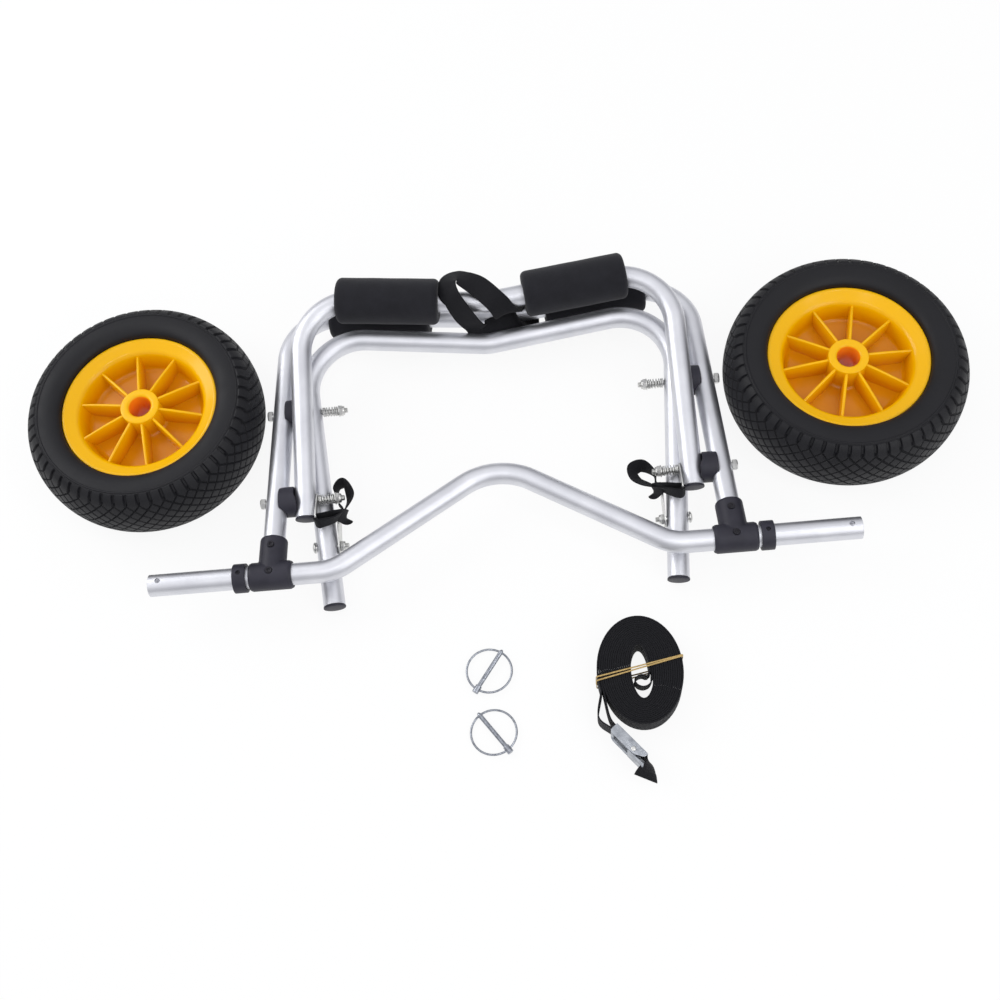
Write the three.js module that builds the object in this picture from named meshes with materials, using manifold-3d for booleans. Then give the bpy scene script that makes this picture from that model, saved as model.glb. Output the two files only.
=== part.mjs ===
// Folding kayak cart, folded flat, with its two wheels, two ring pins and tie-down strap laid beside it.
// Millimetres. X runs along the axle, Y from the axle towards the padded bars, Z up from the floor.
import * as THREE from "three";
import { mergeVertices } from "three/addons/utils/BufferGeometryUtils.js";
import Module from "manifold-3d";

const wasm = await Module();
wasm.setup();

const degree = Math.PI / 180;
const fullTurn = 2 * Math.PI;

// Clearances
const clearance = 0.3;
const overrun = 4;

// Tube stock, the same for the axle and the three frames
const tubeRadius = 11.1;
const tubeWall = 1.5;
const tubeSides = 12;
const tubeBoreSides = 8;
const bendStep = 14 * degree;

// Axle: straight ends and a hump in the middle that clears the hull
const axleHeight = 47;
const axleStub = 85.7;
const humpHalfWidth = 169;
const humpSlope = 32.4 * degree;
const humpFootBend = 48;
const humpTopBend = 65;
const axlePinInset = 10.5;
const axlePinHoleRadius = 2.8;

// Main frame: a U of tube, legs down in the tees, padded bar across the top
const mainHalfWidth = 230.9;
const mainLean = 2.46 * degree;
const mainCorner = 317.8;
const mainBarDip = 6.57 * degree;
const mainCornerBend = 55;
const barCentreBend = 60;
const lowerPivot = 82.3;
const upperPivot = 188.2;

// Cradle frame: a smaller padded U that swings on the lower pivot
const cradleCorner = 223.7;
const cradleFoot = 21.4;
const cradleBarDip = 6.6 * degree;
const cradleCornerBend = 56;

// Kickstand: a third U on the upper pivot, feet down past the axle
const standCorner = 89.3;
const standFoot = 216.1;
const standLean = 5.08 * degree;
const standBarDip = 7.55 * degree;
const standCornerBend = 57;
const standBoltDistance = 150;

// How far the frames open
const cradleSwing = 50 * degree;
const standSwing = 30 * degree;

// Spacer bosses between the legs
const spacerWeb = 7.6;
const spacerRadius = 15.8;
const spacerOuterWrap = 7.6;
const spacerInnerWrap = 3;
const spacerSides = 20;
const sweepStep = 10 * degree;
const sweepMargin = 3 * degree;

// Foam sleeves on the two padded bars
const padRadius = 25.7;
const padSides = 14;
const mainPadStart = 62.5;
const mainPadEnd = 174;
const cradlePadStart = 45;
const cradlePadEnd = 153.5;
const padGap = 0.6;

// Tees that carry the legs on the axle
const teeBarrelLength = 43.4;
const teeBarrelRadius = 14.5;
const teeStemRadius = 14;
const teeStemEnd = 40;
const legSeat = 13;
const teeSides = 20;

// Tee screws
const screwHeadRadius = 3.4;
const screwHeadHeight = 1.4;
const screwShankRadius = 1.8;
const screwDepth = 4.4;
const screwFloor = 1.1;
const stemScrewDistance = 29;
const screwSides = 10;

// Stop collars outside the tees
const collarRadius = 14.75;
const collarWidth = 13;
const collarGap = 2.7;

// Plugs in the open ends of the cradle and the kickstand
const capRadius = 11.4;
const capHeadLength = 3;
const capPlugLength = 12;

// Pivot bolts, springs and nuts
const boltRadius = 3;
const boltHeadRadius = 5.8;
const boltHeadLength = 5.2;
const boltSides = 10;
const hexSides = 6;
const nutLength = 6.3;
const pivotThreadEnd = 3.2;
const springWireRadius = 0.65;
const springMeanRadius = 4.6;
const springLength = 17;
const springCurls = 7;
const springSteps = 8;
const springSides = 5;

// Plates that hold the limit straps
const plateCurveSides = 6;
const plateThickness = 1.5;
const plateWidth = 21;
const plateEdge = 3.2;
const plateSlotWidth = 16.5;
const plateSlotDepth = 4;
const anchorEyeRadius = 6.8;
const anchorSlotDistance = 22;
const anchorTilt = 5 * degree;
const standEyeRadius = 9;
const standSlotDistance = 30;
const standNutLength = 4.8;
const standThreadEnd = 3.6;
const standHeadLength = 3.2;

// Webbing
const limitWebbingWidth = 15.5;
const wideWebbingWidth = 25;
const webbingThickness = 1.3;
const strapSteps = 3;
const limitReachShare = 1.4;

// Wheels, lying flat beside the cart
const wheelGap = 12.1;
const wheelReach = { left: 194, right: 179.8 };
const tyreRadius = 125;
const tyreWidth = 82;
const rimRadius = 82;
const rimInset = 10;
const seatRadius = 70;
const seatHalfWidth = 20;
const rimLip = 4;
const bowlTopRadius = 67;
const bowlTopDepth = 7;
const bowlFloorRadius = 61;
const webThickness = 6;
const hubRadius = 21;
const hubBore = 11.5;
const hubInset = 1;
const ribCount = 10;
const ribThickness = 3.6;
const ribTopDrop = 3;
const ribTipDrop = 9;
const ribTurn = { left: 25.3 * degree, right: 4.1 * degree };
const sidewallRadius = 108;
const shoulderRadius = 117;
const shoulderDrop = 9;
const treadDrop = 26;
const sidewallRise = 3;
const wheelSegments = 30;

// Ring pins
const ringRadius = 22.35;
const ringWireRadius = 1.1;
const ringSteps = 24;
const ringSides = 6;
const pinRadius = 2.25;
const pinHeadRadius = 3.25;
const pinHeadLength = 8;
const pinPoint = 2;
const pinReach = 47;
const pinHoleRadius = 1.7;
const pinHeadLift = 0.25;
// Where each ring's middle lies, as shares of the ring's radius from the axle's middle
const pinSpots = [
  { name: "1", across: -0.98, back: -4.56, heading: 54 * degree },
  { name: "2", across: -0.94, back: -7.34, heading: 126 * degree },
];

// Tie-down strap: doubled webbing wound from its middle, stood on edge
const coilX = 126;
const coilY = -120;
const coilHoleX = 8.5;
const coilHoleY = 26;
const coilPitchX = 2.09;
const coilPitchY = 1.83;
const coilTurns = 7.55;
const coilSteps = 18;
const coilTurnBack = 3.2;
const foldLeadX = -0.4;
const foldSteps = 20;
const tailSteps = 20;
const sewnSteps = 8;
// The fold inside the hole, each point as shares of the hole's half sizes
const foldShares = [
  [1.09, -0.35],
  [0.71, -0.52],
  [0.09, -0.58],
  [-0.54, -0.49],
  [-0.78, -0.32],
  [-0.49, -0.18],
  [0.05, -0.13],
  [0.56, -0.18],
];
const bandThickness = 0.9;
const bandWidth = 2;
const bandTurn = 10 * degree;
const bandCentreOffset = 3;
const bandBulge = 0.6;

// Cam buckle on the end of the tie-down strap
const buckleX = 107;
const buckleY = -190;
const buckleHeading = -50.4 * degree;
const buckleLength = 41;
const buckleDepth = 10.5;
const buckleWall = 1.2;
const buckleBarLength = 4;
const buckleRivetAt = 7.5;
const buckleRivetRadius = 1.6;
const buckleRivetHead = 2.6;
const buckleRivetHeadLength = 0.9;
const leverCamRadius = 3.6;
const leverLength = 15;
const leverThickness = 2;
const leverLip = 3;
const leverCurveSides = 6;
const tailLength = 16;

// Materials
const finish = (color, roughness, metalness) =>
  new THREE.MeshStandardMaterial({ color, roughness, metalness, flatShading: true });
const silver = finish(0xdedee4, 0.35, 0.6);
const zinc = finish(0xc8c8c3, 0.3, 0.8);
const foam = finish(0x25252a, 0.9, 0);
const fitting = finish(0x373541, 0.55, 0);
const webbing = finish(0x1e1e21, 0.9, 0);
const rubber = finish(0x26262c, 0.8, 0);
const yellow = finish(0xf5b40a, 0.35, 0);
const tan = finish(0xb4965a, 0.7, 0);

const vector = (x, y, z) => new THREE.Vector3(x, y, z);

// Solids
function bare(geometry) {
  const copy = geometry.clone();
  copy.deleteAttribute("normal");
  copy.deleteAttribute("uv");
  return mergeVertices(copy);
}

function solid(geometry) {
  const merged = bare(geometry);
  return new wasm.Manifold(
    new wasm.Mesh({
      numProp: 3,
      vertProperties: merged.attributes.position.array,
      triVerts: new Uint32Array(merged.index.array),
    }),
  );
}

function geometryOf(body) {
  const mesh = body.getMesh();
  const made = new THREE.BufferGeometry();
  made.setAttribute("position", new THREE.BufferAttribute(mesh.vertProperties, 3));
  made.setIndex(new THREE.BufferAttribute(mesh.triVerts, 1));
  return made;
}

const join = (first, ...others) => others.reduce((body, other) => body.add(other), first);
const cut = (first, ...others) => others.reduce((body, other) => body.subtract(other), first);

// A round or many-sided bar between two points.
function rod(radius, start, end, sides) {
  const run = end.clone().sub(start);
  const made = bare(new THREE.CylinderGeometry(radius, radius, run.length(), sides));
  const turn = new THREE.Quaternion().setFromUnitVectors(vector(0, 1, 0), run.clone().normalize());
  const middle = start.clone().add(end).multiplyScalar(0.5);
  made.applyMatrix4(new THREE.Matrix4().compose(middle, turn, vector(1, 1, 1)));
  return solid(made);
}

const rodX = (radius, from, to, y, z, sides) => rod(radius, vector(from, y, z), vector(to, y, z), sides);
const rodZ = (radius, x, y, from, to, sides) => rod(radius, vector(x, y, from), vector(x, y, to), sides);

// The corner radius of a many-sided bore whose flats clear a bar of the given radius.
const boreFor = (radius, sides) => (radius + clearance) / Math.cos(Math.PI / sides);

function polygon(radius, sides) {
  const corner = (i) => {
    const angle = (fullTurn * i) / sides;
    return new THREE.Vector2(radius * Math.cos(angle), radius * Math.sin(angle));
  };
  return Array.from({ length: sides }, (_, i) => corner(i));
}

function ringSection(outer, outerSides, inner, innerSides) {
  const section = new THREE.Shape(polygon(outer, outerSides));
  section.holes.push(new THREE.Path(polygon(inner, innerSides)));
  return section;
}

// A curve known at its stations only, so that a section carried along it stands square on each one.
class StationPath extends THREE.Curve {
  constructor(points, tangents) {
    super();
    this.points = points;
    this.tangents = tangents;
  }
  getPointAt(u, target = new THREE.Vector3()) {
    return target.copy(this.points[Math.round(u * (this.points.length - 1))]);
  }
  getTangentAt(u, target = new THREE.Vector3()) {
    return target.copy(this.tangents[Math.round(u * (this.points.length - 1))]);
  }
}

// Straight runs between corners, each corner rounded to its bend radius.
function bentPath(corners, bends) {
  const along = (i) => corners[i + 1].clone().sub(corners[i]).normalize();
  const points = [corners[0]];
  const tangents = [along(0)];
  bends.forEach((bend, i) => {
    const before = along(i);
    const after = along(i + 1);
    const turn = before.angleTo(after);
    const axis = before.clone().cross(after).normalize();
    const inward = axis.clone().cross(before);
    const start = corners[i + 1].clone().addScaledVector(before, -bend * Math.tan(turn / 2));
    const steps = Math.ceil(turn / bendStep);
    for (let k = 0; k <= steps; k++) {
      const angle = (turn * k) / steps;
      const point = start.clone().addScaledVector(before, bend * Math.sin(angle));
      points.push(point.addScaledVector(inward, bend * (1 - Math.cos(angle))));
      tangents.push(before.clone().applyAxisAngle(axis, angle));
    }
  });
  points.push(corners.at(-1));
  tangents.push(along(corners.length - 2));
  return new StationPath(points, tangents);
}

// The part of a path between two values of x, which falls or rises steadily there.
function pathBetween(path, from, to) {
  const points = [];
  const tangents = [];
  const low = Math.min(from, to);
  const high = Math.max(from, to);
  path.points.forEach((point, i) => {
    if (i > 0) {
      const before = path.points[i - 1];
      const crossings = [low, high].filter((x) => (before.x - x) * (point.x - x) < 0);
      crossings.sort((a, b) => (a - b) * (point.x - before.x));
      for (const x of crossings) {
        const share = (x - before.x) / (point.x - before.x);
        points.push(before.clone().lerp(point, share));
        tangents.push(path.tangents[i - 1].clone().lerp(path.tangents[i], share).normalize());
      }
    }
    if (point.x > low && point.x < high) {
      points.push(point);
      tangents.push(path.tangents[i]);
    }
  });
  return new StationPath(points, tangents);
}

function carried(section, path) {
  const steps = path.points.length - 1;
  return new THREE.ExtrudeGeometry(section, { steps, extrudePath: path });
}

const tubeSection = ringSection(tubeRadius, tubeSides, tubeRadius - tubeWall, tubeBoreSides);
const tubeAlong = (path) => solid(carried(tubeSection, path));

// A closed outline turned about the Z axis.
function turned(profile, segments) {
  const points = profile.map(([r, z]) => new THREE.Vector2(r, z));
  if (THREE.ShapeUtils.area(points) < 0) points.reverse();
  points.push(points[0].clone());
  return bare(new THREE.LatheGeometry(points, segments)).rotateX(Math.PI / 2);
}

// A flat band through stations, each with its centre and the direction of its width.
function ribbon(centres, widths, width, thickness, closed) {
  const count = centres.length;
  const corners = [];
  const faces = [];
  const at = (i) => (closed ? (i + count) % count : THREE.MathUtils.clamp(i, 0, count - 1));
  centres.forEach((centre, i) => {
    const along = centres[at(i + 1)].clone().sub(centres[at(i - 1)]).normalize();
    const across = widths[i].clone().addScaledVector(along, -widths[i].dot(along)).normalize();
    const face = along.clone().cross(across);
    for (const [a, f] of [[1, 1], [-1, 1], [-1, -1], [1, -1]]) {
      const corner = centre.clone().addScaledVector(across, (a * width) / 2);
      corners.push(...corner.addScaledVector(face, (f * thickness) / 2).toArray());
    }
  });
  for (let i = 0; i < (closed ? count : count - 1); i++)
    for (let k = 0; k < 4; k++) {
      const here = 4 * i;
      const next = 4 * at(i + 1);
      const turn = (k + 1) % 4;
      faces.push(here + k, here + turn, next + turn, here + k, next + turn, next + k);
    }
  if (!closed) {
    const last = 4 * (count - 1);
    faces.push(0, 2, 1, 0, 3, 2, last, last + 1, last + 2, last, last + 2, last + 3);
  }
  const made = new THREE.BufferGeometry();
  made.setAttribute("position", new THREE.Float32BufferAttribute(corners, 3));
  return made.setIndex(faces);
}

// A closed strap through hand-chosen points, smoothed, with the direction of its width smoothed alike.
function strapLoop(points, directions, width) {
  const route = new THREE.CatmullRomCurve3(points, true);
  const turning = new THREE.CatmullRomCurve3(directions, true);
  const centres = [];
  const widths = [];
  const stations = points.length * strapSteps;
  for (let i = 0; i < stations; i++) {
    centres.push(route.getPoint(i / stations));
    widths.push(turning.getPoint(i / stations));
  }
  return ribbon(centres, widths, width, webbingThickness, true);
}

function mesh(name, geometry, material) {
  const made = new THREE.Mesh(geometry, material);
  made.name = name;
  return made;
}

const sides = [
  { name: "left", sign: -1 },
  { name: "right", sign: 1 },
];

// Lines of the legs, measured along each frame from its own pivot
const mainLegX = (s) => mainHalfWidth - s * Math.tan(mainLean);
const mainCornerX = mainLegX(mainCorner);
const cradleHalfWidth = mainLegX(lowerPivot) - 2 * tubeRadius - spacerWeb;
const standHalfWidth = mainLegX(upperPivot) - 2 * tubeRadius - spacerWeb;
const standLegX = (s) => standHalfWidth + s * Math.tan(standLean);
const standCornerX = standLegX(standCorner);

// A U-shaped frame path from the right foot over the bar to the left foot.
function framePath(footX, foot, cornerX, corner, dip, cornerBend) {
  const middle = corner - cornerX * Math.tan(dip);
  const corners = [
    vector(footX, foot, 0),
    vector(cornerX, corner, 0),
    vector(0, middle, 0),
    vector(-cornerX, corner, 0),
    vector(-footX, foot, 0),
  ];
  return bentPath(corners, [cornerBend, barCentreBend, cornerBend]);
}

const capSeat = capHeadLength + clearance;
const mainPath = framePath(
  mainLegX(legSeat), legSeat, mainCornerX, mainCorner, mainBarDip, mainCornerBend,
);
const cradlePath = framePath(
  cradleHalfWidth, capSeat - cradleFoot, cradleHalfWidth, cradleCorner, cradleBarDip, cradleCornerBend,
);
const standPath = framePath(
  standLegX(capSeat - standFoot), capSeat - standFoot, standCornerX, standCorner,
  standBarDip, standCornerBend,
);

const mainPadPath = (sign) => pathBetween(mainPath, sign * mainPadStart, sign * mainPadEnd);
const cradlePadPath = (sign) => pathBetween(cradlePath, sign * cradlePadStart, sign * cradlePadEnd);

// Rest angles. Main pads and kickstand feet lie on the floor, and the cradle pads on the main pads.
const padOuter = Math.max(...mainPadPath(1).points.map((p) => p.y));
const mainTilt = Math.asin((axleHeight - padRadius) / padOuter);
const upperPivotHeight = axleHeight - upperPivot * Math.sin(mainTilt);
const standTilt =
  Math.asin(upperPivotHeight / Math.hypot(standFoot, capRadius)) - Math.atan(capRadius / standFoot);
const standRest = mainTilt + standTilt;
const mainBarAt = (x) => mainCorner - (mainCornerX - x) * Math.tan(mainBarDip);
const cradleBarAt = (x) => cradleCorner - (cradleHalfWidth - x) * Math.tan(cradleBarDip);
const padSpacing = 2 * padRadius + padGap;
const mainArm = mainBarAt(mainPadStart) - lowerPivot;
const cradleArm = cradleBarAt(mainPadStart);
const cradleRest = Math.acos(
  (mainArm ** 2 + cradleArm ** 2 - padSpacing ** 2) / (2 * mainArm * cradleArm),
);

const cart = new THREE.Group();
const mainGroup = new THREE.Group();
mainGroup.position.z = axleHeight;
mainGroup.rotation.x = -mainTilt;
const cradleGroup = new THREE.Group();
cradleGroup.position.y = lowerPivot;
cradleGroup.rotation.x = cradleRest;
const standGroup = new THREE.Group();
standGroup.position.y = upperPivot;
standGroup.rotation.x = standRest;
mainGroup.add(cradleGroup, standGroup);
cart.add(mainGroup);
cart.updateMatrixWorld(true);

// Axle tube, with a cross hole near each end for a ring pin and a hole under each tee screw.
// Its bare stubs outside the stop collars carry the wheels.
const teeX = mainHalfWidth;
const axleHalfLength = teeX + teeBarrelLength / 2 + collarGap + collarWidth + axleStub;
const screwHoleRadius = screwShankRadius + clearance;
const screwSeat = boreFor(tubeRadius, tubeSides) + screwFloor;
const humpTop = humpHalfWidth * Math.tan(humpSlope);
const axlePath = bentPath(
  [
    vector(axleHalfLength, 0, 0),
    vector(humpHalfWidth, 0, 0),
    vector(0, humpTop, 0),
    vector(-humpHalfWidth, 0, 0),
    vector(-axleHalfLength, 0, 0),
  ],
  [humpFootBend, humpTopBend, humpFootBend],
);
const tubeReach = tubeRadius + overrun;
const axleCuts = sides.flatMap(({ sign }) => [
  rodZ(axlePinHoleRadius, sign * (axleHalfLength - axlePinInset), 0, -tubeReach, tubeReach, boltSides),
  rodZ(screwHoleRadius, sign * teeX, 0, 0, tubeReach, screwSides),
]);
mainGroup.add(mesh("axle_tube", geometryOf(cut(tubeAlong(axlePath), ...axleCuts)), silver));

// Main frame, drilled for the four pivot bolts and the two stem screws
const stemScrewX = mainLegX(stemScrewDistance);
const pivotHoleRadius = boltRadius + clearance;
const legHole = (x, y) => rodX(pivotHoleRadius, x - tubeReach, x + tubeReach, y, 0, boltSides);
const mainCuts = sides.flatMap(({ sign }) => [
  legHole(sign * mainLegX(lowerPivot), lowerPivot),
  legHole(sign * mainLegX(upperPivot), upperPivot),
  rodZ(screwHoleRadius, sign * stemScrewX, stemScrewDistance, 0, tubeReach, screwSides),
]);
mainGroup.add(mesh("main_frame", geometryOf(cut(tubeAlong(mainPath), ...mainCuts)), silver));

// Tees: a barrel on the axle and a stem that takes the leg
for (const { name, sign } of sides) {
  const legAt = (s) => vector(sign * mainLegX(s), s, 0);
  const inner = sign * (teeX - teeBarrelLength / 2);
  const outer = sign * (teeX + teeBarrelLength / 2);
  const axleBore = boreFor(tubeRadius, tubeSides);
  const screwHole = (x, y) => [
    rodZ(screwHoleRadius, x, y, 0, tubeReach, screwSides),
    rodZ(screwHeadRadius + clearance, x, y, screwSeat, teeBarrelRadius + overrun, screwSides),
  ];
  const tee = cut(
    join(
      rodX(teeBarrelRadius, inner, outer, 0, 0, teeSides),
      rod(teeStemRadius, legAt(0), legAt(teeStemEnd), teeSides),
    ),
    rodX(axleBore, inner - sign * overrun, outer + sign * overrun, 0, 0, tubeSides),
    rod(axleBore, legAt(legSeat - clearance), legAt(teeStemEnd + overrun), tubeSides),
    ...screwHole(sign * teeX, 0),
    ...screwHole(sign * stemScrewX, stemScrewDistance),
  );
  mainGroup.add(mesh("tee_" + name, geometryOf(tee), fitting));

  // Tee screws
  const screw = (x, y) => {
    const underHead = screwSeat + clearance;
    return join(
      rodZ(screwHeadRadius, x, y, underHead, underHead + screwHeadHeight, screwSides),
      rodZ(screwShankRadius, x, y, underHead - screwDepth, underHead + screwHeadHeight / 2, screwSides),
    );
  };
  mainGroup.add(mesh("barrel_screw_" + name, geometryOf(screw(sign * teeX, 0)), zinc));
  mainGroup.add(mesh("stem_screw_" + name, geometryOf(screw(sign * stemScrewX, stemScrewDistance)), zinc));

  // Stop collar that keeps the wheel off the tee
  const collarStart = outer + sign * collarGap;
  const collarEnd = collarStart + sign * collarWidth;
  const collar = cut(
    rodX(collarRadius, collarStart, collarEnd, 0, 0, teeSides),
    rodX(axleBore, collarStart - sign * overrun, collarEnd + sign * overrun, 0, 0, tubeSides),
  );
  mainGroup.add(mesh("stop_collar_" + name, geometryOf(collar), fitting));
}

// Foam sleeves
const padSection = ringSection(padRadius, padSides, boreFor(tubeRadius, tubeSides), tubeSides);
for (const { name, sign } of sides) {
  const sleeve = (path) => geometryOf(solid(carried(padSection, path)));
  mainGroup.add(mesh("main_pad_" + name, sleeve(mainPadPath(sign)), foam));
  cradleGroup.add(mesh("cradle_pad_" + name, sleeve(cradlePadPath(sign)), foam));
}

// Cradle and kickstand tubes
const cradleCuts = sides.map(({ sign }) => legHole(sign * cradleHalfWidth, 0));
cradleGroup.add(mesh("cradle_frame", geometryOf(cut(tubeAlong(cradlePath), ...cradleCuts)), silver));
const standBoltX = standLegX(-standBoltDistance);
const standCuts = sides.flatMap(({ sign }) => [
  legHole(sign * standHalfWidth, 0),
  legHole(sign * standBoltX, -standBoltDistance),
]);
standGroup.add(mesh("kickstand_frame", geometryOf(cut(tubeAlong(standPath), ...standCuts)), silver));

// End plugs: a stem in the tube and a head that covers its end
function endPlug(legAt, foot) {
  const plugRadius = (tubeRadius - tubeWall) * Math.cos(Math.PI / tubeBoreSides) - clearance;
  const face = legAt(-foot);
  const underHead = legAt(capHeadLength - foot);
  const top = legAt(capHeadLength + capPlugLength - foot);
  return join(
    rod(capRadius, face, underHead, tubeSides),
    rod(plugRadius, face.clone().lerp(underHead, 0.5), top, tubeSides),
  );
}
for (const { name, sign } of sides) {
  const cradleLeg = (s) => vector(sign * cradleHalfWidth, s, 0);
  const standLeg = (s) => vector(sign * standLegX(s), s, 0);
  cradleGroup.add(mesh("cradle_end_cap_" + name, geometryOf(endPlug(cradleLeg, cradleFoot)), fitting));
  standGroup.add(mesh("kickstand_foot_" + name, geometryOf(endPlug(standLeg, standFoot)), fitting));
}

// A bar along a leg of the cradle or the kickstand at an angle to the main frame, cut from the spacers.
function legAtAngle(pivot, x, lean, angle) {
  const reach = spacerRadius + spacerWeb + overrun;
  const run = vector(Math.sign(x) * Math.sin(lean), Math.cos(lean), 0).applyAxisAngle(vector(1, 0, 0), angle);
  const middle = vector(x, pivot, 0);
  const start = middle.clone().addScaledVector(run, -reach);
  const end = middle.clone().addScaledVector(run, reach);
  return rod(boreFor(tubeRadius, tubeSides), start, end, tubeSides);
}

function sweptLeg(pivot, x, lean, rest, swing) {
  const span = swing + 2 * sweepMargin;
  const steps = Math.ceil(span / sweepStep);
  const angle = (i) => rest - sweepMargin + (span * i) / steps;
  return Array.from({ length: steps + 1 }, (_, i) => legAtAngle(pivot, x, lean, angle(i)));
}

// The cradle leg where it crosses over the upper spacer at rest
function cradleLegOver(sign) {
  const run = vector(0, Math.cos(cradleRest), Math.sin(cradleRest));
  const base = vector(sign * cradleHalfWidth, lowerPivot, 0);
  const start = base.clone().addScaledVector(run, cradleFoot);
  const end = base.clone().addScaledVector(run, cradleCorner);
  return rod(boreFor(tubeRadius, tubeSides), start, end, tubeSides);
}

// Spacers, bolts, springs and nuts at the four pivots
const pivots = [
  {
    level: "lower", at: lowerPivot, innerX: cradleHalfWidth,
    lean: 0, rest: cradleRest, swing: cradleSwing,
  },
  {
    level: "upper", at: upperPivot, innerX: standHalfWidth,
    lean: standLean, rest: standRest, swing: standSwing,
  },
];
const springPitch = (springLength - 2 * springWireRadius) / springCurls;

function springAlong(start, sign, y) {
  const points = [];
  const tangents = [];
  for (let i = 0; i <= springCurls * springSteps; i++) {
    const angle = (fullTurn * i) / springSteps;
    const x = start - sign * (springWireRadius + (springPitch * angle) / fullTurn);
    const rise = -sign * (springPitch / fullTurn);
    points.push(vector(x, y + springMeanRadius * Math.cos(angle), springMeanRadius * Math.sin(angle)));
    const across = vector(rise, -springMeanRadius * Math.sin(angle), springMeanRadius * Math.cos(angle));
    tangents.push(across.normalize());
  }
  const wire = new THREE.Shape(polygon(springWireRadius, springSides));
  return carried(wire, new StationPath(points, tangents));
}

const nutBore = boreFor(boltRadius, boltSides);
for (const pivot of pivots)
  for (const { name, sign } of sides) {
    const end = pivot.level + "_" + name;
    const mainX = mainLegX(pivot.at);
    const leanRise = (springMeanRadius + springWireRadius) * Math.tan(pivot.lean);
    const innerFace = pivot.innerX - tubeRadius / Math.cos(pivot.lean) - leanRise;
    const headX = mainX + tubeRadius / Math.cos(mainLean) + boltHeadRadius * Math.tan(mainLean) + clearance;
    const springStart = innerFace - clearance - (pivot.level === "lower" ? plateThickness + clearance : 0);
    const nutStart = springStart - springLength - clearance;
    const nutEnd = nutStart - nutLength;
    const tip = nutEnd - pivotThreadEnd;

    const spacerOuter = mainX - tubeRadius + spacerOuterWrap;
    const spacerInner = pivot.innerX + tubeRadius - spacerInnerWrap;
    const mainLeg = legAtAngle(pivot.at, sign * mainX, -mainLean, 0);
    const swept = sweptLeg(pivot.at, sign * pivot.innerX, pivot.lean, pivot.rest, pivot.swing);
    const crossing = pivot.level === "upper" ? [cradleLegOver(sign)] : [];
    const spacer = cut(
      rodX(spacerRadius, sign * spacerOuter, sign * spacerInner, pivot.at, 0, spacerSides),
      mainLeg,
      ...swept,
      ...crossing,
      rodX(nutBore, sign * headX, sign * innerFace, pivot.at, 0, boltSides),
    );
    mainGroup.add(mesh("spacer_" + end, geometryOf(spacer), fitting));

    const bolt = join(
      rodX(boltHeadRadius, sign * headX, sign * (headX + boltHeadLength), pivot.at, 0, hexSides),
      rodX(boltRadius, sign * (headX + boltHeadLength / 2), sign * tip, pivot.at, 0, boltSides),
    );
    mainGroup.add(mesh("pivot_bolt_" + end, geometryOf(bolt), zinc));

    const spring = springAlong(sign * springStart, sign, pivot.at);
    mainGroup.add(mesh("pivot_spring_" + end, geometryOf(solid(spring)), zinc));

    const nut = cut(
      rodX(boltHeadRadius, sign * nutStart, sign * nutEnd, pivot.at, 0, hexSides),
      rodX(nutBore, sign * (nutStart + overrun), sign * (nutEnd - overrun), pivot.at, 0, boltSides),
    );
    mainGroup.add(mesh("pivot_nut_" + end, geometryOf(nut), zinc));
  }
console.log("spring gap to itself", (springPitch - 2 * springWireRadius).toFixed(2), "mm");

// Strap plates: an eye on a bolt and a slot for the webbing, in a plane square to the bolt
function strapPlate(eyeRadius, slotDistance) {
  const outline = new THREE.Shape();
  const half = plateWidth / 2;
  const end = slotDistance + plateSlotDepth / 2 + plateEdge;
  const shoulder = slotDistance - plateSlotDepth / 2 - plateEdge;
  outline.absarc(0, 0, eyeRadius, Math.PI / 2, (3 * Math.PI) / 2);
  outline.lineTo(shoulder, -half);
  outline.lineTo(end, -half);
  outline.lineTo(end, half);
  outline.lineTo(shoulder, half);
  outline.holes.push(new THREE.Path(polygon(nutBore, boltSides)));
  const near = slotDistance - plateSlotDepth / 2;
  const far = slotDistance + plateSlotDepth / 2;
  const across = plateSlotWidth / 2;
  const slot = new THREE.Path();
  slot.moveTo(near, -across);
  slot.lineTo(near, across);
  slot.lineTo(far, across);
  slot.lineTo(far, -across);
  outline.holes.push(slot);
  const options = { depth: plateThickness, bevelEnabled: false, curveSegments: plateCurveSides };
  return new THREE.ExtrudeGeometry(outline, options);
}

// Turns a plate so that its length runs along the given direction, and its low face lies at x.
function placePlate(geometry, x, y, run) {
  const across = vector(1, 0, 0);
  const side = across.clone().cross(run);
  const turn = new THREE.Matrix4().makeBasis(run, side, across).setPosition(x, y, 0);
  return solid(bare(geometry).applyMatrix4(turn));
}

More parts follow.
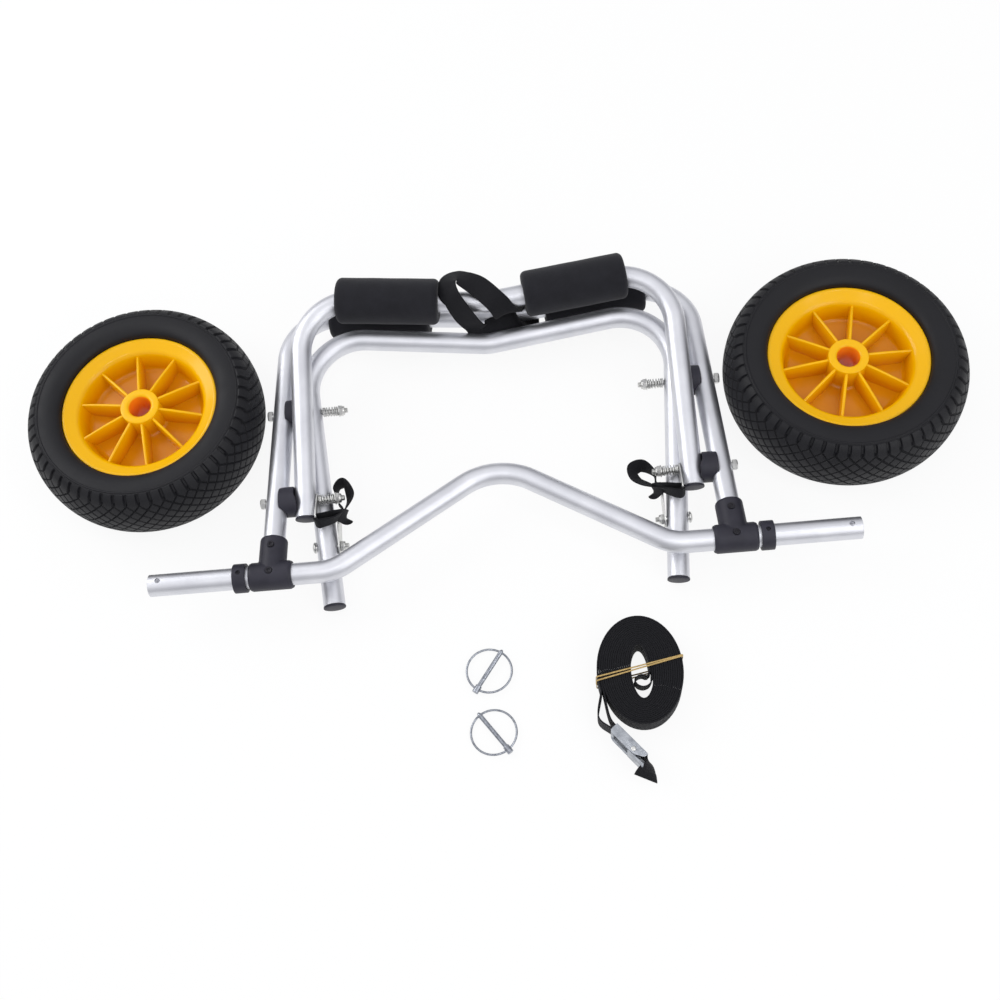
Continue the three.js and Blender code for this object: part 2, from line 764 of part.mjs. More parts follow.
const anchorRun = vector(0, -Math.cos(anchorTilt), Math.sin(anchorTilt));
const standRun = vector(0, 1, 0);
const lowX = (sign, inner) => (sign > 0 ? inner : -inner - plateThickness);
const anchorInner = cradleHalfWidth - tubeRadius - clearance - plateThickness;
const standPlateOuter =
  standLegX(-standBoltDistance - standEyeRadius) - tubeRadius / Math.cos(standLean) - clearance;
const standPlateInner = standPlateOuter - plateThickness;
for (const { name, sign } of sides) {
  const anchor = placePlate(
    strapPlate(anchorEyeRadius, anchorSlotDistance), lowX(sign, anchorInner), lowerPivot, anchorRun,
  );
  mainGroup.add(mesh("strap_anchor_" + name, geometryOf(anchor), zinc));
  const plate = placePlate(
    strapPlate(standEyeRadius, standSlotDistance), lowX(sign, standPlateInner), -standBoltDistance, standRun,
  );
  standGroup.add(mesh("stand_plate_" + name, geometryOf(plate), zinc));

  // Bolt and nut that hold the plate on the kickstand leg
  const headX = standLegX(boltHeadRadius - standBoltDistance) + tubeRadius / Math.cos(standLean) + clearance;
  const nutX = standPlateInner - clearance;
  const nutEnd = nutX - standNutLength;
  const bolt = join(
    rodX(boltHeadRadius, sign * headX, sign * (headX + standHeadLength), -standBoltDistance, 0, boltSides),
    rodX(
      boltRadius, sign * (headX + standHeadLength / 2), sign * (nutEnd - standThreadEnd),
      -standBoltDistance, 0, boltSides,
    ),
  );
  standGroup.add(mesh("stand_bolt_" + name, geometryOf(bolt), zinc));
  const nut = cut(
    rodX(boltHeadRadius, sign * nutX, sign * nutEnd, -standBoltDistance, 0, hexSides),
    rodX(nutBore, sign * (nutX + overrun), sign * (nutEnd - overrun), -standBoltDistance, 0, boltSides),
  );
  standGroup.add(mesh("stand_nut_" + name, geometryOf(nut), zinc));
}

// Limit straps: a loop of webbing through both slots, its slack bulging towards the middle of the cart.
// Each bulge point is a share of the webbing's width from the anchor's bar: inwards, forwards and up.
const bulgeShares = {
  left: [
    [1.2, 0.1, -0.15], [1.75, 0.9, -0.6], [2.1, 1.9, -0.7], [1.75, 2.8, -0.5],
    [1.2, 2.6, -0.9], [1.2, 1.75, -1.3],
  ],
  right: [
    [1.1, 0.25, -0.3], [2.1, 1.1, -0.5], [3.15, 2.1, -0.7], [3.25, 2.85, -0.85],
    [2.3, 2.75, -1.05], [1.55, 2.0, -1.3],
  ],
};
const barMiddle = (slotDistance) => slotDistance + (plateSlotDepth + plateEdge) / 2;
const wrap = plateThickness / 2 + clearance + webbingThickness;
const barWrap = plateEdge / 2 + clearance + webbingThickness;
for (const { name, sign } of sides) {
  const anchorBar = vector(0, lowerPivot, 0)
    .addScaledVector(anchorRun, barMiddle(anchorSlotDistance))
    .setX(sign * (anchorInner + plateThickness / 2))
    .applyMatrix4(mainGroup.matrixWorld);
  const standBar = vector(0, barMiddle(standSlotDistance) - standBoltDistance, 0)
    .setX(sign * (standPlateInner + plateThickness / 2))
    .applyMatrix4(standGroup.matrixWorld);
  // A point beside a bar: inwards, along the plate and along the width of the webbing.
  const beside = (bar, up) => (inwards, forwards, rise) =>
    bar.clone()
      .addScaledVector(vector(-sign, 0, 0), inwards)
      .addScaledVector(up.clone().cross(vector(1, 0, 0)), forwards)
      .addScaledVector(up, rise);
  const floorUp = vector(0, 0, 1);
  const anchorUp = vector(0, Math.sin(anchorTilt), Math.cos(anchorTilt));
  anchorUp.transformDirection(mainGroup.matrixWorld);
  const standUp = floorUp.clone().transformDirection(standGroup.matrixWorld);
  const byAnchor = beside(anchorBar, anchorUp);
  const byStand = beside(standBar, standUp);
  const bulgePoint = beside(anchorBar, floorUp);
  const bulge = bulgeShares[name].map((row) => bulgePoint(...row.map((share) => share * limitWebbingWidth)));
  const out = [byAnchor(-wrap, 0, 0), byAnchor(0, -barWrap, 0), byAnchor(2 * wrap, -barWrap, 0)];
  const turnBack = [
    byStand(2 * wrap, barWrap + webbingThickness, 0),
    byStand(0, barWrap, 0),
    byStand(-wrap, 0, 0),
    byStand(0, -barWrap, 0),
    byStand(3 * wrap, -barWrap - webbingThickness, 0),
  ];
  const home = [
    byAnchor(limitReachShare * limitWebbingWidth, barWrap + 2 * webbingThickness, 0),
    byAnchor(3 * wrap, barWrap + webbingThickness, 0),
    byAnchor(0, barWrap, 0),
  ];
  const points = [...out, ...bulge, ...turnBack, ...home];
  const upright = [
    ...out.map(() => anchorUp), ...bulge.map(() => floorUp),
    ...turnBack.map(() => standUp), ...home.map(() => anchorUp),
  ];
  cart.add(mesh("limit_strap_" + name, strapLoop(points, upright, limitWebbingWidth), webbing));
}

// Centre strap: a slack loop of wide webbing round the middles of the two padded bars.
// Each row holds the place across (share of the webbing's width), up from the main bar to the cradle
// bar (share of their distance) and to the front (share of the tube's radius), then the width's direction.
const centreStrapShares = [
  [-1.24, 1.32, -0.45, -0.9, 0.2, 0.2],
  [-1.0, 1.17, 1.2, -0.85, -0.2, -0.3],
  [-0.4, 0.68, 1.75, -0.85, -0.2, -0.45],
  [0.15, 0.3, 1.95, -0.6, 0.1, -0.8],
  [0.95, 0.14, 2.05, -0.3, 0.2, -0.95],
  [1.62, 0.02, 1.75, -0.7, 0.2, -0.7],
  [1.76, -0.28, 0.2, -1, 0, 0],
  [1.74, -0.15, -1.1, -1, 0, 0],
  [1.6, 0.15, -1.1, -1, 0, 0],
  [1.35, 0.32, -0.2, -1, 0, 0],
  [1.15, 0.5, 1.2, -1, 0, 0],
  [1.0, 0.85, 1.7, -0.9, 0, -0.4],
  [0.6, 1.27, 1.1, -0.6, -0.3, -0.7],
  [0.0, 1.42, -0.1, -0.2, -0.5, -0.85],
  [-0.75, 1.45, -0.6, -0.2, -0.5, -0.85],
];
const mainBarCentre = (x) => vector(x, mainBarAt(Math.abs(x)), 0).applyMatrix4(mainGroup.matrixWorld);
const cradleBarCentre = (x) => vector(x, cradleBarAt(Math.abs(x)), 0).applyMatrix4(cradleGroup.matrixWorld);
const centrePoints = centreStrapShares.map(([across, up, front]) => {
  const x = across * wideWebbingWidth;
  const base = mainBarCentre(x);
  const rise = cradleBarCentre(x).sub(base);
  const forwards = vector(0, -rise.z, rise.y).normalize();
  return base.addScaledVector(rise, up).addScaledVector(forwards, front * tubeRadius);
});
const centreWidths = centreStrapShares.map(([, , , x, y, z]) => vector(x, y, z));
cart.add(mesh("centre_strap", strapLoop(centrePoints, centreWidths, wideWebbingWidth), webbing));

// Tyres and rims. Heights are measured from the middle plane of the wheel.
const wheelSpread = mainHalfWidth + tyreRadius + wheelGap;
const tyreHalf = tyreWidth / 2;
const rimHalf = tyreHalf - rimInset;
const bothFaces = (upper) => [...upper, ...upper.map(([r, h]) => [r, -h]).reverse()];
const tyreProfile = bothFaces([
  [seatRadius + clearance, seatHalfWidth],
  [rimRadius + clearance, rimHalf - rimLip],
  [rimRadius + clearance, rimHalf + sidewallRise],
  [(rimRadius + sidewallRadius) / 2, tyreHalf],
  [sidewallRadius, tyreHalf],
  [shoulderRadius, tyreHalf - shoulderDrop],
  [tyreRadius, tyreHalf - treadDrop],
]);
const webHalf = webThickness / 2;
const rimProfile = bothFaces([
  [seatRadius, seatHalfWidth],
  [rimRadius, rimHalf - rimLip],
  [rimRadius, rimHalf],
  [rimRadius - rimLip, rimHalf],
  [bowlTopRadius, rimHalf - bowlTopDepth],
  [bowlFloorRadius, webHalf],
  [hubRadius, webHalf],
  [hubRadius, rimHalf - hubInset],
  [hubBore, rimHalf - hubInset],
]);
const ribTip = rimHalf - ribTipDrop;
const wallSlope = (bowlTopRadius - bowlFloorRadius) / (rimHalf - bowlTopDepth - webHalf);
const wallRadius = (h) => bowlFloorRadius + (h - webHalf) * wallSlope;
const ribOutline = new THREE.Shape(
  bothFaces([
    [bowlFloorRadius + ribThickness / 2, webHalf],
    [wallRadius(ribTip) + ribThickness / 2, ribTip],
    [hubRadius - ribThickness / 2, rimHalf - ribTopDrop],
  ]).map(([r, h]) => new THREE.Vector2(r, h)),
);
function rib(angle) {
  const plate = new THREE.ExtrudeGeometry(ribOutline, { depth: ribThickness, bevelEnabled: false });
  plate.translate(0, 0, -ribThickness / 2);
  return solid(bare(plate).rotateX(Math.PI / 2).rotateZ(angle));
}
const bareRim = solid(turned(rimProfile, wheelSegments));
const tyreGeometry = geometryOf(solid(turned(tyreProfile, wheelSegments)));
for (const { name, sign } of sides) {
  const ribs = Array.from({ length: ribCount }, (_, i) => rib(ribTurn[name] + (fullTurn * i) / ribCount));
  const rimGeometry = geometryOf(join(bareRim, ...ribs));
  const wheel = new THREE.Group();
  wheel.position.set(sign * wheelSpread, wheelReach[name], tyreHalf);
  wheel.add(mesh("tyre_" + name, tyreGeometry, rubber), mesh("rim_" + name, rimGeometry, yellow));
  cart.add(wheel);
}

// Ring pins: the ring passes through the pin's head, and the pin's point lies over the ring
const headHeight = pinHeadRadius + pinHeadLift;
const ringTilt = Math.asin((headHeight - ringWireRadius) / (2 * ringRadius));
const pointHeight = 2 * ringWireRadius + clearance + pinRadius;
const pinTilt = Math.asin((pointHeight - headHeight) / (2 * ringRadius));
for (const { name, across, back, heading } of pinSpots) {
  // The group's own X runs from the head towards the point, with the head's hole at its origin.
  const spot = new THREE.Group();
  spot.position.set(
    ringRadius * (across - Math.cos(heading)), ringRadius * (back - Math.sin(heading)), headHeight,
  );
  spot.rotation.z = heading;
  const ring = bare(new THREE.TorusGeometry(ringRadius, ringWireRadius, ringSides, ringSteps));
  ring.translate(ringRadius, 0, 0).rotateY(ringTilt);
  spot.add(mesh("ring_" + name, ring, zinc));
  const pin = cut(
    join(
      rodX(pinHeadRadius, -pinHeadLength / 2, pinHeadLength / 2, 0, 0, spacerSides / 2),
      rodX(pinRadius, 0, pinReach - pinPoint, 0, 0, boltSides),
      solid(bare(new THREE.CylinderGeometry(pinRadius / 2, pinRadius, pinPoint, boltSides))
        .rotateZ(-Math.PI / 2)
        .translate(pinReach - pinPoint / 2, 0, 0)),
    ),
    rod(pinHoleRadius, vector(0, -tubeRadius, 0), vector(0, tubeRadius, 0), screwSides),
  );
  const pinMesh = mesh("pin_" + name, geometryOf(pin), zinc);
  pinMesh.rotation.y = -pinTilt;
  spot.add(pinMesh);
  cart.add(spot);
}

// Tie-down strap. Two strands wind out side by side from the fold at the middle of the strap.
const coilBase = bandThickness + 2 * clearance;
const coilMiddle = coilBase + wideWebbingWidth / 2;
const layerPoint = (layer, angle) => {
  const reachX = coilHoleX + coilPitchX * layer;
  const reachY = coilHoleY + coilPitchY * layer;
  return vector(coilX + reachX * Math.cos(angle), coilY + reachY * Math.sin(angle), coilMiddle);
};
const strandLayer = (start, turns) => start + 2 * turns;
function strand(start) {
  const count = Math.round(coilTurns * coilSteps);
  const turnsAt = (i) => i / coilSteps;
  return Array.from({ length: count + 1 }, (_, i) =>
    layerPoint(strandLayer(start, turnsAt(i)), fullTurn * turnsAt(i)),
  );
}
const innerStrand = strand(0);
const outerStrand = strand(1);

// The fold at the middle of the strap hangs into the hole: both strands run across it and turn back.
const foldAt = (acrossShare, alongShare) =>
  vector(coilX + coilHoleX * acrossShare, coilY + coilHoleY * alongShare, coilMiddle);
const fold = [
  outerStrand[0].clone().add(vector(foldLeadX, -coilTurnBack, 0)),
  ...foldShares.map(([across, along]) => foldAt(across, along)),
  innerStrand[0].clone().add(vector(foldLeadX, -coilTurnBack / 2, 0)),
];

const buckleRun = vector(Math.cos(buckleHeading), Math.sin(buckleHeading), 0);
const buckleSide = vector(-buckleRun.y, buckleRun.x, 0);
const buckleAt = (along, aside, z) =>
  vector(buckleX, buckleY, z).addScaledVector(buckleRun, along).addScaledVector(buckleSide, aside);
const webbingAside = buckleDepth / 2 - buckleWall - clearance - webbingThickness / 2;
const buckleStart = -buckleLength / 2;

// Inner strand: off the coil, through the buckle and out as the free tail
const tailRoute = [
  buckleAt(buckleStart - tailLength / 2, webbingAside + webbingThickness, coilMiddle),
  buckleAt(buckleStart, webbingAside, coilMiddle),
  buckleAt(0, webbingAside, coilMiddle),
  buckleAt(-buckleStart, webbingAside, coilMiddle),
  buckleAt(-buckleStart + tailLength / 3, webbingAside - webbingThickness, coilMiddle),
  buckleAt(-buckleStart + tailLength, webbingAside - tailLength / 2, coilMiddle),
];
// Outer strand: off the coil to the bar of the buckle, where it is sewn
const sewnRoute = [
  buckleAt(buckleStart - tailLength, -webbingAside, coilMiddle),
  buckleAt(buckleStart - clearance, -webbingAside / 2, coilMiddle),
];
const smoothed = (points, steps) => new THREE.CatmullRomCurve3(points).getPoints(steps);
const routeIn = smoothed([outerStrand.at(-1), ...sewnRoute], sewnSteps).slice(1).reverse();
const routeOut = smoothed([innerStrand.at(-1), ...tailRoute], tailSteps).slice(1);
const middleRoute = smoothed(fold, foldSteps);
const webbingRoute = [...routeIn, ...outerStrand.reverse(), ...middleRoute, ...innerStrand, ...routeOut];
const webbingUp = webbingRoute.map(() => vector(0, 0, 1));
const tieDown = ribbon(webbingRoute, webbingUp, wideWebbingWidth, webbingThickness, false);
cart.add(mesh("tie_down_webbing", tieDown, webbing));

// The length of the strap, and the least gap between stretches of it that are not neighbours
const lengthOf = (points) => points.reduce((sum, p, i) => (i ? sum + p.distanceTo(points[i - 1]) : 0), 0);
function leastGap(points, thickness) {
  let least = Infinity;
  const run = new THREE.Line3();
  const nearest = new THREE.Vector3();
  points.forEach((point, i) => {
    for (let j = i + 4; j < points.length - 1; j++) {
      run.set(points[j], points[j + 1]).closestPointToPoint(point, true, nearest);
      least = Math.min(least, nearest.distanceTo(point));
    }
  });
  return least - thickness;
}
console.log("tie-down webbing", lengthOf(webbingRoute).toFixed(0), "mm long");
console.log("tie-down webbing gap to itself", leastGap(webbingRoute, webbingThickness).toFixed(2), "mm");

// Buckle body: a base, two side walls and a bar for the sewn end, with the lever's rivet across it
const buckleLow = coilBase - clearance - buckleWall;
const buckleHigh = coilBase + wideWebbingWidth + clearance + buckleWall;
function buckleBlock(fromAlong, toAlong, fromAside, toAside, low, high) {
  const outline = new THREE.Shape([
    new THREE.Vector2(fromAlong, fromAside),
    new THREE.Vector2(toAlong, fromAside),
    new THREE.Vector2(toAlong, toAside),
    new THREE.Vector2(fromAlong, toAside),
  ]);
  return buckleSolid(outline, low, high);
}
function buckleSolid(outline, low, high) {
  const options = { depth: high - low, bevelEnabled: false, curveSegments: leverCurveSides };
  const made = new THREE.ExtrudeGeometry(outline, options);
  const turn = new THREE.Matrix4().makeRotationZ(buckleHeading).setPosition(buckleX, buckleY, low);
  return solid(bare(made).applyMatrix4(turn));
}
const buckleHalf = buckleDepth / 2;
const rivetHole = buckleRivetRadius + clearance;
const rivetCentre = buckleAt(buckleRivetAt, -buckleHalf + leverCamRadius + clearance, 0);
const buckleEnd = buckleLength / 2;
const body = cut(
  buckleBlock(-buckleEnd, buckleEnd, -buckleHalf, buckleHalf, buckleLow, buckleHigh),
  buckleBlock(
    -buckleEnd + buckleBarLength, buckleEnd + overrun, -buckleHalf - overrun, buckleHalf - buckleWall,
    buckleLow + buckleWall, buckleHigh - buckleWall,
  ),
  buckleBlock(
    -buckleEnd - overrun, buckleEnd, -webbingAside / 2, buckleHalf - buckleWall,
    buckleLow + buckleWall, buckleHigh - buckleWall,
  ),
  rodZ(rivetHole, rivetCentre.x, rivetCentre.y, buckleLow - overrun, buckleHigh + overrun, screwSides),
);
cart.add(mesh("buckle_body", geometryOf(body), zinc));

// Lever: a cam on the rivet and a thumb plate along the open side, with a lip at its end
const camAside = -buckleHalf + leverCamRadius + clearance;
const leverOutline = new THREE.Shape();
leverOutline.absarc(buckleRivetAt, camAside, leverCamRadius, -Math.PI / 2, Math.PI, false);
// Each corner of the thumb plate, from the rivet along the buckle and outwards from the cam
const leverCorners = [
  [-leverCamRadius, -leverThickness],
  [-leverCamRadius, leverThickness / 2],
  [leverLength, leverThickness / 2],
  [leverLength + leverLip / 2, leverLip],
  [leverLength + leverLip, leverLip / 2],
  [leverLength + leverThickness / 2, -leverThickness / 2],
];
for (const [along, outwards] of leverCorners)
  leverOutline.lineTo(buckleRivetAt + along, camAside - leverCamRadius - outwards);
const leverHole = new THREE.Path();
leverHole.absarc(buckleRivetAt, camAside, rivetHole, 0, fullTurn, true);
leverOutline.holes.push(leverHole);
const leverLow = coilBase;
const leverHigh = coilBase + wideWebbingWidth;
cart.add(mesh("buckle_lever", geometryOf(buckleSolid(leverOutline, leverLow, leverHigh)), zinc));

const rivet = join(
  rodZ(buckleRivetRadius, rivetCentre.x, rivetCentre.y, buckleLow, buckleHigh + clearance, screwSides),
  rodZ(
    buckleRivetHead, rivetCentre.x, rivetCentre.y, buckleHigh + clearance,
    buckleHigh + clearance + buckleRivetHeadLength, screwSides,
  ),
);
cart.add(mesh("buckle_rivet", geometryOf(rivet), zinc));

// Rubber band round the coil, crosswise
const bandRun = vector(Math.cos(bandTurn), Math.sin(bandTurn), 0);
const bandSide = vector(-bandRun.y, bandRun.x, 0);
const bandReachAt = (turns) =>
  coilHoleX + coilPitchX * strandLayer(1, turns) + (webbingThickness + bandThickness) / 2 + clearance + bandBulge;
const bandLeft = bandReachAt(coilTurns);
const bandRight = bandReachAt(Math.floor(coilTurns));
const bandCentre = vector(coilX, coilY + bandCentreOffset, 0);
const bandLow = bandThickness / 2;
const bandHigh = coilBase + wideWebbingWidth + clearance + bandThickness / 2;
const bandPoint = (along, z) => bandCentre.clone().addScaledVector(bandRun, along).setZ(z);
const bandPoints = [
  bandPoint(-bandLeft + bandThickness, bandLow),
  bandPoint(bandRight - bandThickness, bandLow),
  bandPoint(bandRight, bandLow + bandThickness),
  bandPoint(bandRight, bandHigh - bandThickness),
  bandPoint(bandRight - bandThickness, bandHigh),
  bandPoint(-bandLeft + bandThickness, bandHigh),
  bandPoint(-bandLeft, bandHigh - bandThickness),
  bandPoint(-bandLeft, bandLow + bandThickness),
];
const bandWidths = bandPoints.map(() => bandSide);
cart.add(mesh("rubber_band", ribbon(bandPoints, bandWidths, bandWidth, bandThickness, true), tan));

// The origin is the middle of the outline seen from above, on the floor.
const box = new THREE.Box3().setFromObject(cart, true);
const middle = box.getCenter(new THREE.Vector3());
cart.position.set(-middle.x, -middle.y, -box.min.z);

export default cart;
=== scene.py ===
# Folding kayak cart, folded flat, with its two wheels, two ring pins and tie-down strap laid beside it.
# Metres in the row frame: X along the axle, Y from the axle towards the pads, Z up from the floor.
import math

import bmesh
import bpy
import numpy as np
from mathutils import Matrix


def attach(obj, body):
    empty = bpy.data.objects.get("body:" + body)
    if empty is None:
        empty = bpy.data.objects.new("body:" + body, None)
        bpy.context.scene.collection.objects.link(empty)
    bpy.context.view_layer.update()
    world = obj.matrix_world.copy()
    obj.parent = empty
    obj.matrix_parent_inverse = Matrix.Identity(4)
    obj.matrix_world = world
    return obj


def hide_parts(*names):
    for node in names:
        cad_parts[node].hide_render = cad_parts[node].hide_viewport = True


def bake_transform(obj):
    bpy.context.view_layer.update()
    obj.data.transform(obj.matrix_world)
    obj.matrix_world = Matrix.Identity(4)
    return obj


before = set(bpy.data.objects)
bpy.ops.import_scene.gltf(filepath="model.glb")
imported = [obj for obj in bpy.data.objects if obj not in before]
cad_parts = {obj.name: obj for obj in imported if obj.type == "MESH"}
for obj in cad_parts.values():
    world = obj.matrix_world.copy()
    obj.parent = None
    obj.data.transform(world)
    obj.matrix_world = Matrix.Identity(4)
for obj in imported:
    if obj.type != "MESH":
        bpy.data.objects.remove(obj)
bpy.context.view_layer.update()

# Camera: above the cart and before it, looking down on it from a good metre away, on a square picture. Its
# place, direction and lens bring the cart's tubes and wheels to where the photograph shows them.
def unit(vectors):
    """Each vector over its own length."""
    vectors = np.asarray(vectors, float)
    return vectors / np.linalg.norm(vectors, axis=-1, keepdims=True)


def aimed(aside, upward, back, at):
    """The matrix of a camera or a lamp at a place, by its three own axes."""
    made = np.eye(4)
    made[:3, :3] = np.stack((aside, upward, back), -1)
    made[:3, 3] = at
    return Matrix(made.tolist())


lens = bpy.data.cameras.new("camera")
lens.lens = 47.62
lens.sensor_width = 36.0
camera = bpy.data.objects.new("camera", lens)
look = unit((-0.0392, 0.4169, -0.9081))
look_aside = unit(np.cross(look, (0.0836, 0.907, 0.4128)))
camera.matrix_world = aimed(look_aside, np.cross(look_aside, look), -look, (0.05415, -0.55241, 1.2614))
bpy.context.collection.objects.link(camera)
bpy.context.scene.camera = camera
bpy.context.scene.view_settings.view_transform = "Standard"


# Studio: a white paper floor that keeps a faint shadow, a pale sky, two large soft boxes at the sides and
# three small lamps higher up, which give the glossy rims their bright spots.
def colour(red, green, blue):
    """A colour written as 0 to 255 on a screen, as the light that a shader works in."""
    share = np.array((red, green, blue)) / 255
    light = np.where(share > 0.04045, ((share + 0.055) / 1.055) ** 2.4, share / 12.92)
    return (*light.tolist(), 1.0)


def add(tree, kind, inputs=(), **settings):
    """A shader node with its settings, each input either set to a value or linked to another output."""
    made = tree.nodes.new("ShaderNode" + kind)
    for name, value in settings.items():
        setattr(made, name, value)
    for name, value in dict(inputs).items():
        if isinstance(value, bpy.types.NodeSocket):
            tree.links.new(value, made.inputs[name])
        else:
            made.inputs[name].default_value = value
    return made


def seen(tree, share):
    """A share for rays from the camera or by way of gloss or glass, and none for rays that light."""
    path = add(tree, "LightPath")
    camera_ray, gloss_ray, glass_ray = (
        path.outputs[f"Is {kind} Ray"] for kind in ("Camera", "Glossy", "Transmission")
    )
    gloss = add(tree, "Math", {0: camera_ray, 1: gloss_ray}, operation="MAXIMUM")
    either = add(tree, "Math", {0: gloss.outputs[0], 1: glass_ray}, operation="MAXIMUM")
    return add(tree, "Math", {0: either.outputs[0], 1: share}, operation="MULTIPLY").outputs[0]


def ramp(tree, share, *stops):
    """A colour or a grey read off between stops, each a place from 0 to 1 and a colour or a number."""
    made = add(tree, "ValToRGB", {0: share})
    for element, (position, value) in zip(made.color_ramp.elements, stops):
        element.position = position
        element.color = value if isinstance(value, tuple) else (value, value, value, 1)
    return made.outputs[0]


paper_half = 6.0
floor_mesh = bpy.data.meshes.new("floor")
floor_corners = [(x * paper_half, y * paper_half, -2e-4) for x, y in ((-1, -1), (1, -1), (1, 1), (-1, 1))]
floor_mesh.from_pydata(floor_corners, [], [(0, 1, 2, 3)])
floor = bpy.data.objects.new("floor", floor_mesh)
bpy.context.collection.objects.link(floor)
paper = bpy.data.materials.new("floor_paper")
paper.use_nodes = True
tree = paper.node_tree
tree.nodes.clear()
lit = add(tree, "BsdfDiffuse", {"Color": (0.92, 0.92, 0.92, 1)})
white = add(tree, "Emission", {"Color": (1, 1, 1, 1), "Strength": 1.0})
mixed = add(tree, "MixShader", {0: seen(tree, 0.9), 1: lit.outputs[0], 2: white.outputs[0]})
add(tree, "OutputMaterial", {"Surface": mixed.outputs[0]})
floor_mesh.materials.append(paper)

sky = bpy.data.worlds.new("sky")
bpy.context.scene.world = sky
sky.use_nodes = True
tree = sky.node_tree
tree.nodes.clear()
height = add(tree, "SeparateXYZ", {0: add(tree, "TexCoord").outputs["Generated"]}).outputs["Z"]
dome = ramp(tree, height, (0.15, (0.30, 0.30, 0.32, 1)), (0.80, (0.92, 0.92, 0.94, 1)))
even = add(tree, "Background", {"Color": (0.74, 0.75, 0.77, 1), "Strength": 1.0})
mirrored = add(tree, "Background", {"Color": dome, "Strength": 1.0})
plain = add(tree, "Background", {"Color": (1, 1, 1, 1), "Strength": 1.0})
path = add(tree, "LightPath")
first = add(tree, "MixShader", {0: seen(tree, 1.0), 1: even.outputs[0], 2: mirrored.outputs[0]})
second = add(tree, "MixShader", {0: path.outputs["Is Camera Ray"], 1: first.outputs[0], 2: plain.outputs[0]})
add(tree, "OutputWorld", {"Surface": second.outputs[0]})

for name, where, size, power in (
    ("left_box", (-1.5, 0.7, 1.1), 1.2, 13.0),
    ("right_box", (1.3, -1.0, 1.2), 1.2, 8.0),
    ("right_spot", (0.73, -0.2, 1.68), 0.12, 1.2),
    ("middle_spot", (0.11, -0.6, 1.68), 0.12, 1.0),
    ("left_spot", (-0.33, -0.71, 1.68), 0.12, 0.8),
):
    box = bpy.data.lights.new(name, "AREA")
    box.shape = "SQUARE"
    box.size = size
    box.energy = power
    lamp = bpy.data.objects.new(name, box)
    back = unit(where)
    level = unit(np.cross((0, 0, 1), back))
    lamp.matrix_world = aimed(level, np.cross(back, level), back, where)
    bpy.context.collection.objects.link(lamp)


# Tubes: the axle and three U frames are bent from one stock of drawn aluminium tube with a satin silver
# finish, open at the ends and drilled for the bolts and the ring pins.
tube_radius = 11.1
tube_wall = 1.5
drill_half = 16.0
bolt_radius = 3.0
bolt_hole = bolt_radius + 0.15
main_half_width = 230.9
main_lean = math.radians(2.46)
lower_pivot = 82.3
upper_pivot = 188.2
spacer_web = 7.6
stand_lean = math.radians(5.08)
cap_seat = 3.3
cradle_foot = 21.4
stand_foot = 216.1
leg_seat = 13.0
stand_bolt_at = 150.0
axle_half_length = 354.0
pin_hole_inset = 10.5
pin_hole_radius = 2.8
hump_foot = 169
hump_slope = math.radians(32.4)
main_bar_at, main_dip = 317.8, 6.57
cradle_bar_at, cradle_dip = 223.7, 6.6
stand_bar_at, stand_dip = 89.3, 7.55
axle_bends = (48, 65, 48)
main_bend, cradle_bend, stand_bend, dip_bend = 55, 56, 57, 60


def about_x(angle, at):
    """The place of a group of pieces: a turn about X, then a move in metres."""
    c, s = math.cos(angle), math.sin(angle)
    return np.array(((1, 0, 0), (0, c, -s), (0, s, c))), np.array(at)


def placed(points, place):
    """Points in a group's own millimetres, turned and moved to the row frame in metres."""
    turn, at = place
    return np.asarray(points, float) * 0.001 @ turn.T + at


axle_y, axle_height = -0.057109, 0.047
main_tilt = -0.0685338717872236
cradle_turn = 0.2407136861703356
stand_turn = 0.17412335430915532
on_floor = about_x(0, (0, axle_y, 0))
on_main = about_x(main_tilt, (0, axle_y, axle_height))
cradle_at, stand_at = (placed((0, pivot, 0), on_main).round(6) for pivot in (lower_pivot, upper_pivot))
on_cradle = about_x(main_tilt + cradle_turn, cradle_at)
on_stand = about_x(main_tilt + stand_turn, stand_at)


def skin(grid, place, round_rows=False, round_columns=True):
    """A skin over a grid of points in millimetres: a four-cornered face between neighbours in rows and
    columns. Its UV holds the mean lengths walked along the rows and along the columns, in metres."""
    rows, columns = grid.shape[:2]
    last_row = rows if round_rows else rows - 1
    last_column = columns if round_columns else columns - 1
    i, j = (a.ravel() for a in np.meshgrid(np.arange(last_row), np.arange(last_column), indexing="ij"))
    corners = ((i, j), (i + 1, j), (i + 1, j + 1), (i, j + 1))
    faces = np.stack([(a % rows) * columns + b % columns for a, b in corners], -1)
    along = np.linalg.norm(np.roll(grid, -1, 0) - grid, axis=2).mean(1)
    across = np.linalg.norm(np.roll(grid, -1, 1) - grid, axis=2).mean(0)
    along = np.concatenate(((0,), np.cumsum(along))) * 0.001
    across = np.concatenate(((0,), np.cumsum(across))) * 0.001
    mesh = bpy.data.meshes.new("skin")
    mesh.from_pydata(placed(grid.reshape(-1, 3), place).tolist(), [], faces.tolist())
    lengths = np.stack([np.stack((along[a], across[b]), -1) for a, b in corners], 1)
    mesh.uv_layers.new(name="lengths").data.foreach_set("uv", lengths.astype(np.float32).ravel())
    return mesh


def sealed(*meshes):
    """One mesh of several: doubled corners merged, which closes seams and poles, and faces turned out."""
    shell = bmesh.new()
    for mesh in meshes:
        shell.from_mesh(mesh)
    bmesh.ops.remove_doubles(shell, verts=shell.verts, dist=1e-6)
    bmesh.ops.recalc_face_normals(shell, faces=shell.faces)
    made = bpy.data.meshes.new("sealed")
    shell.to_mesh(made)
    shell.free()
    return made


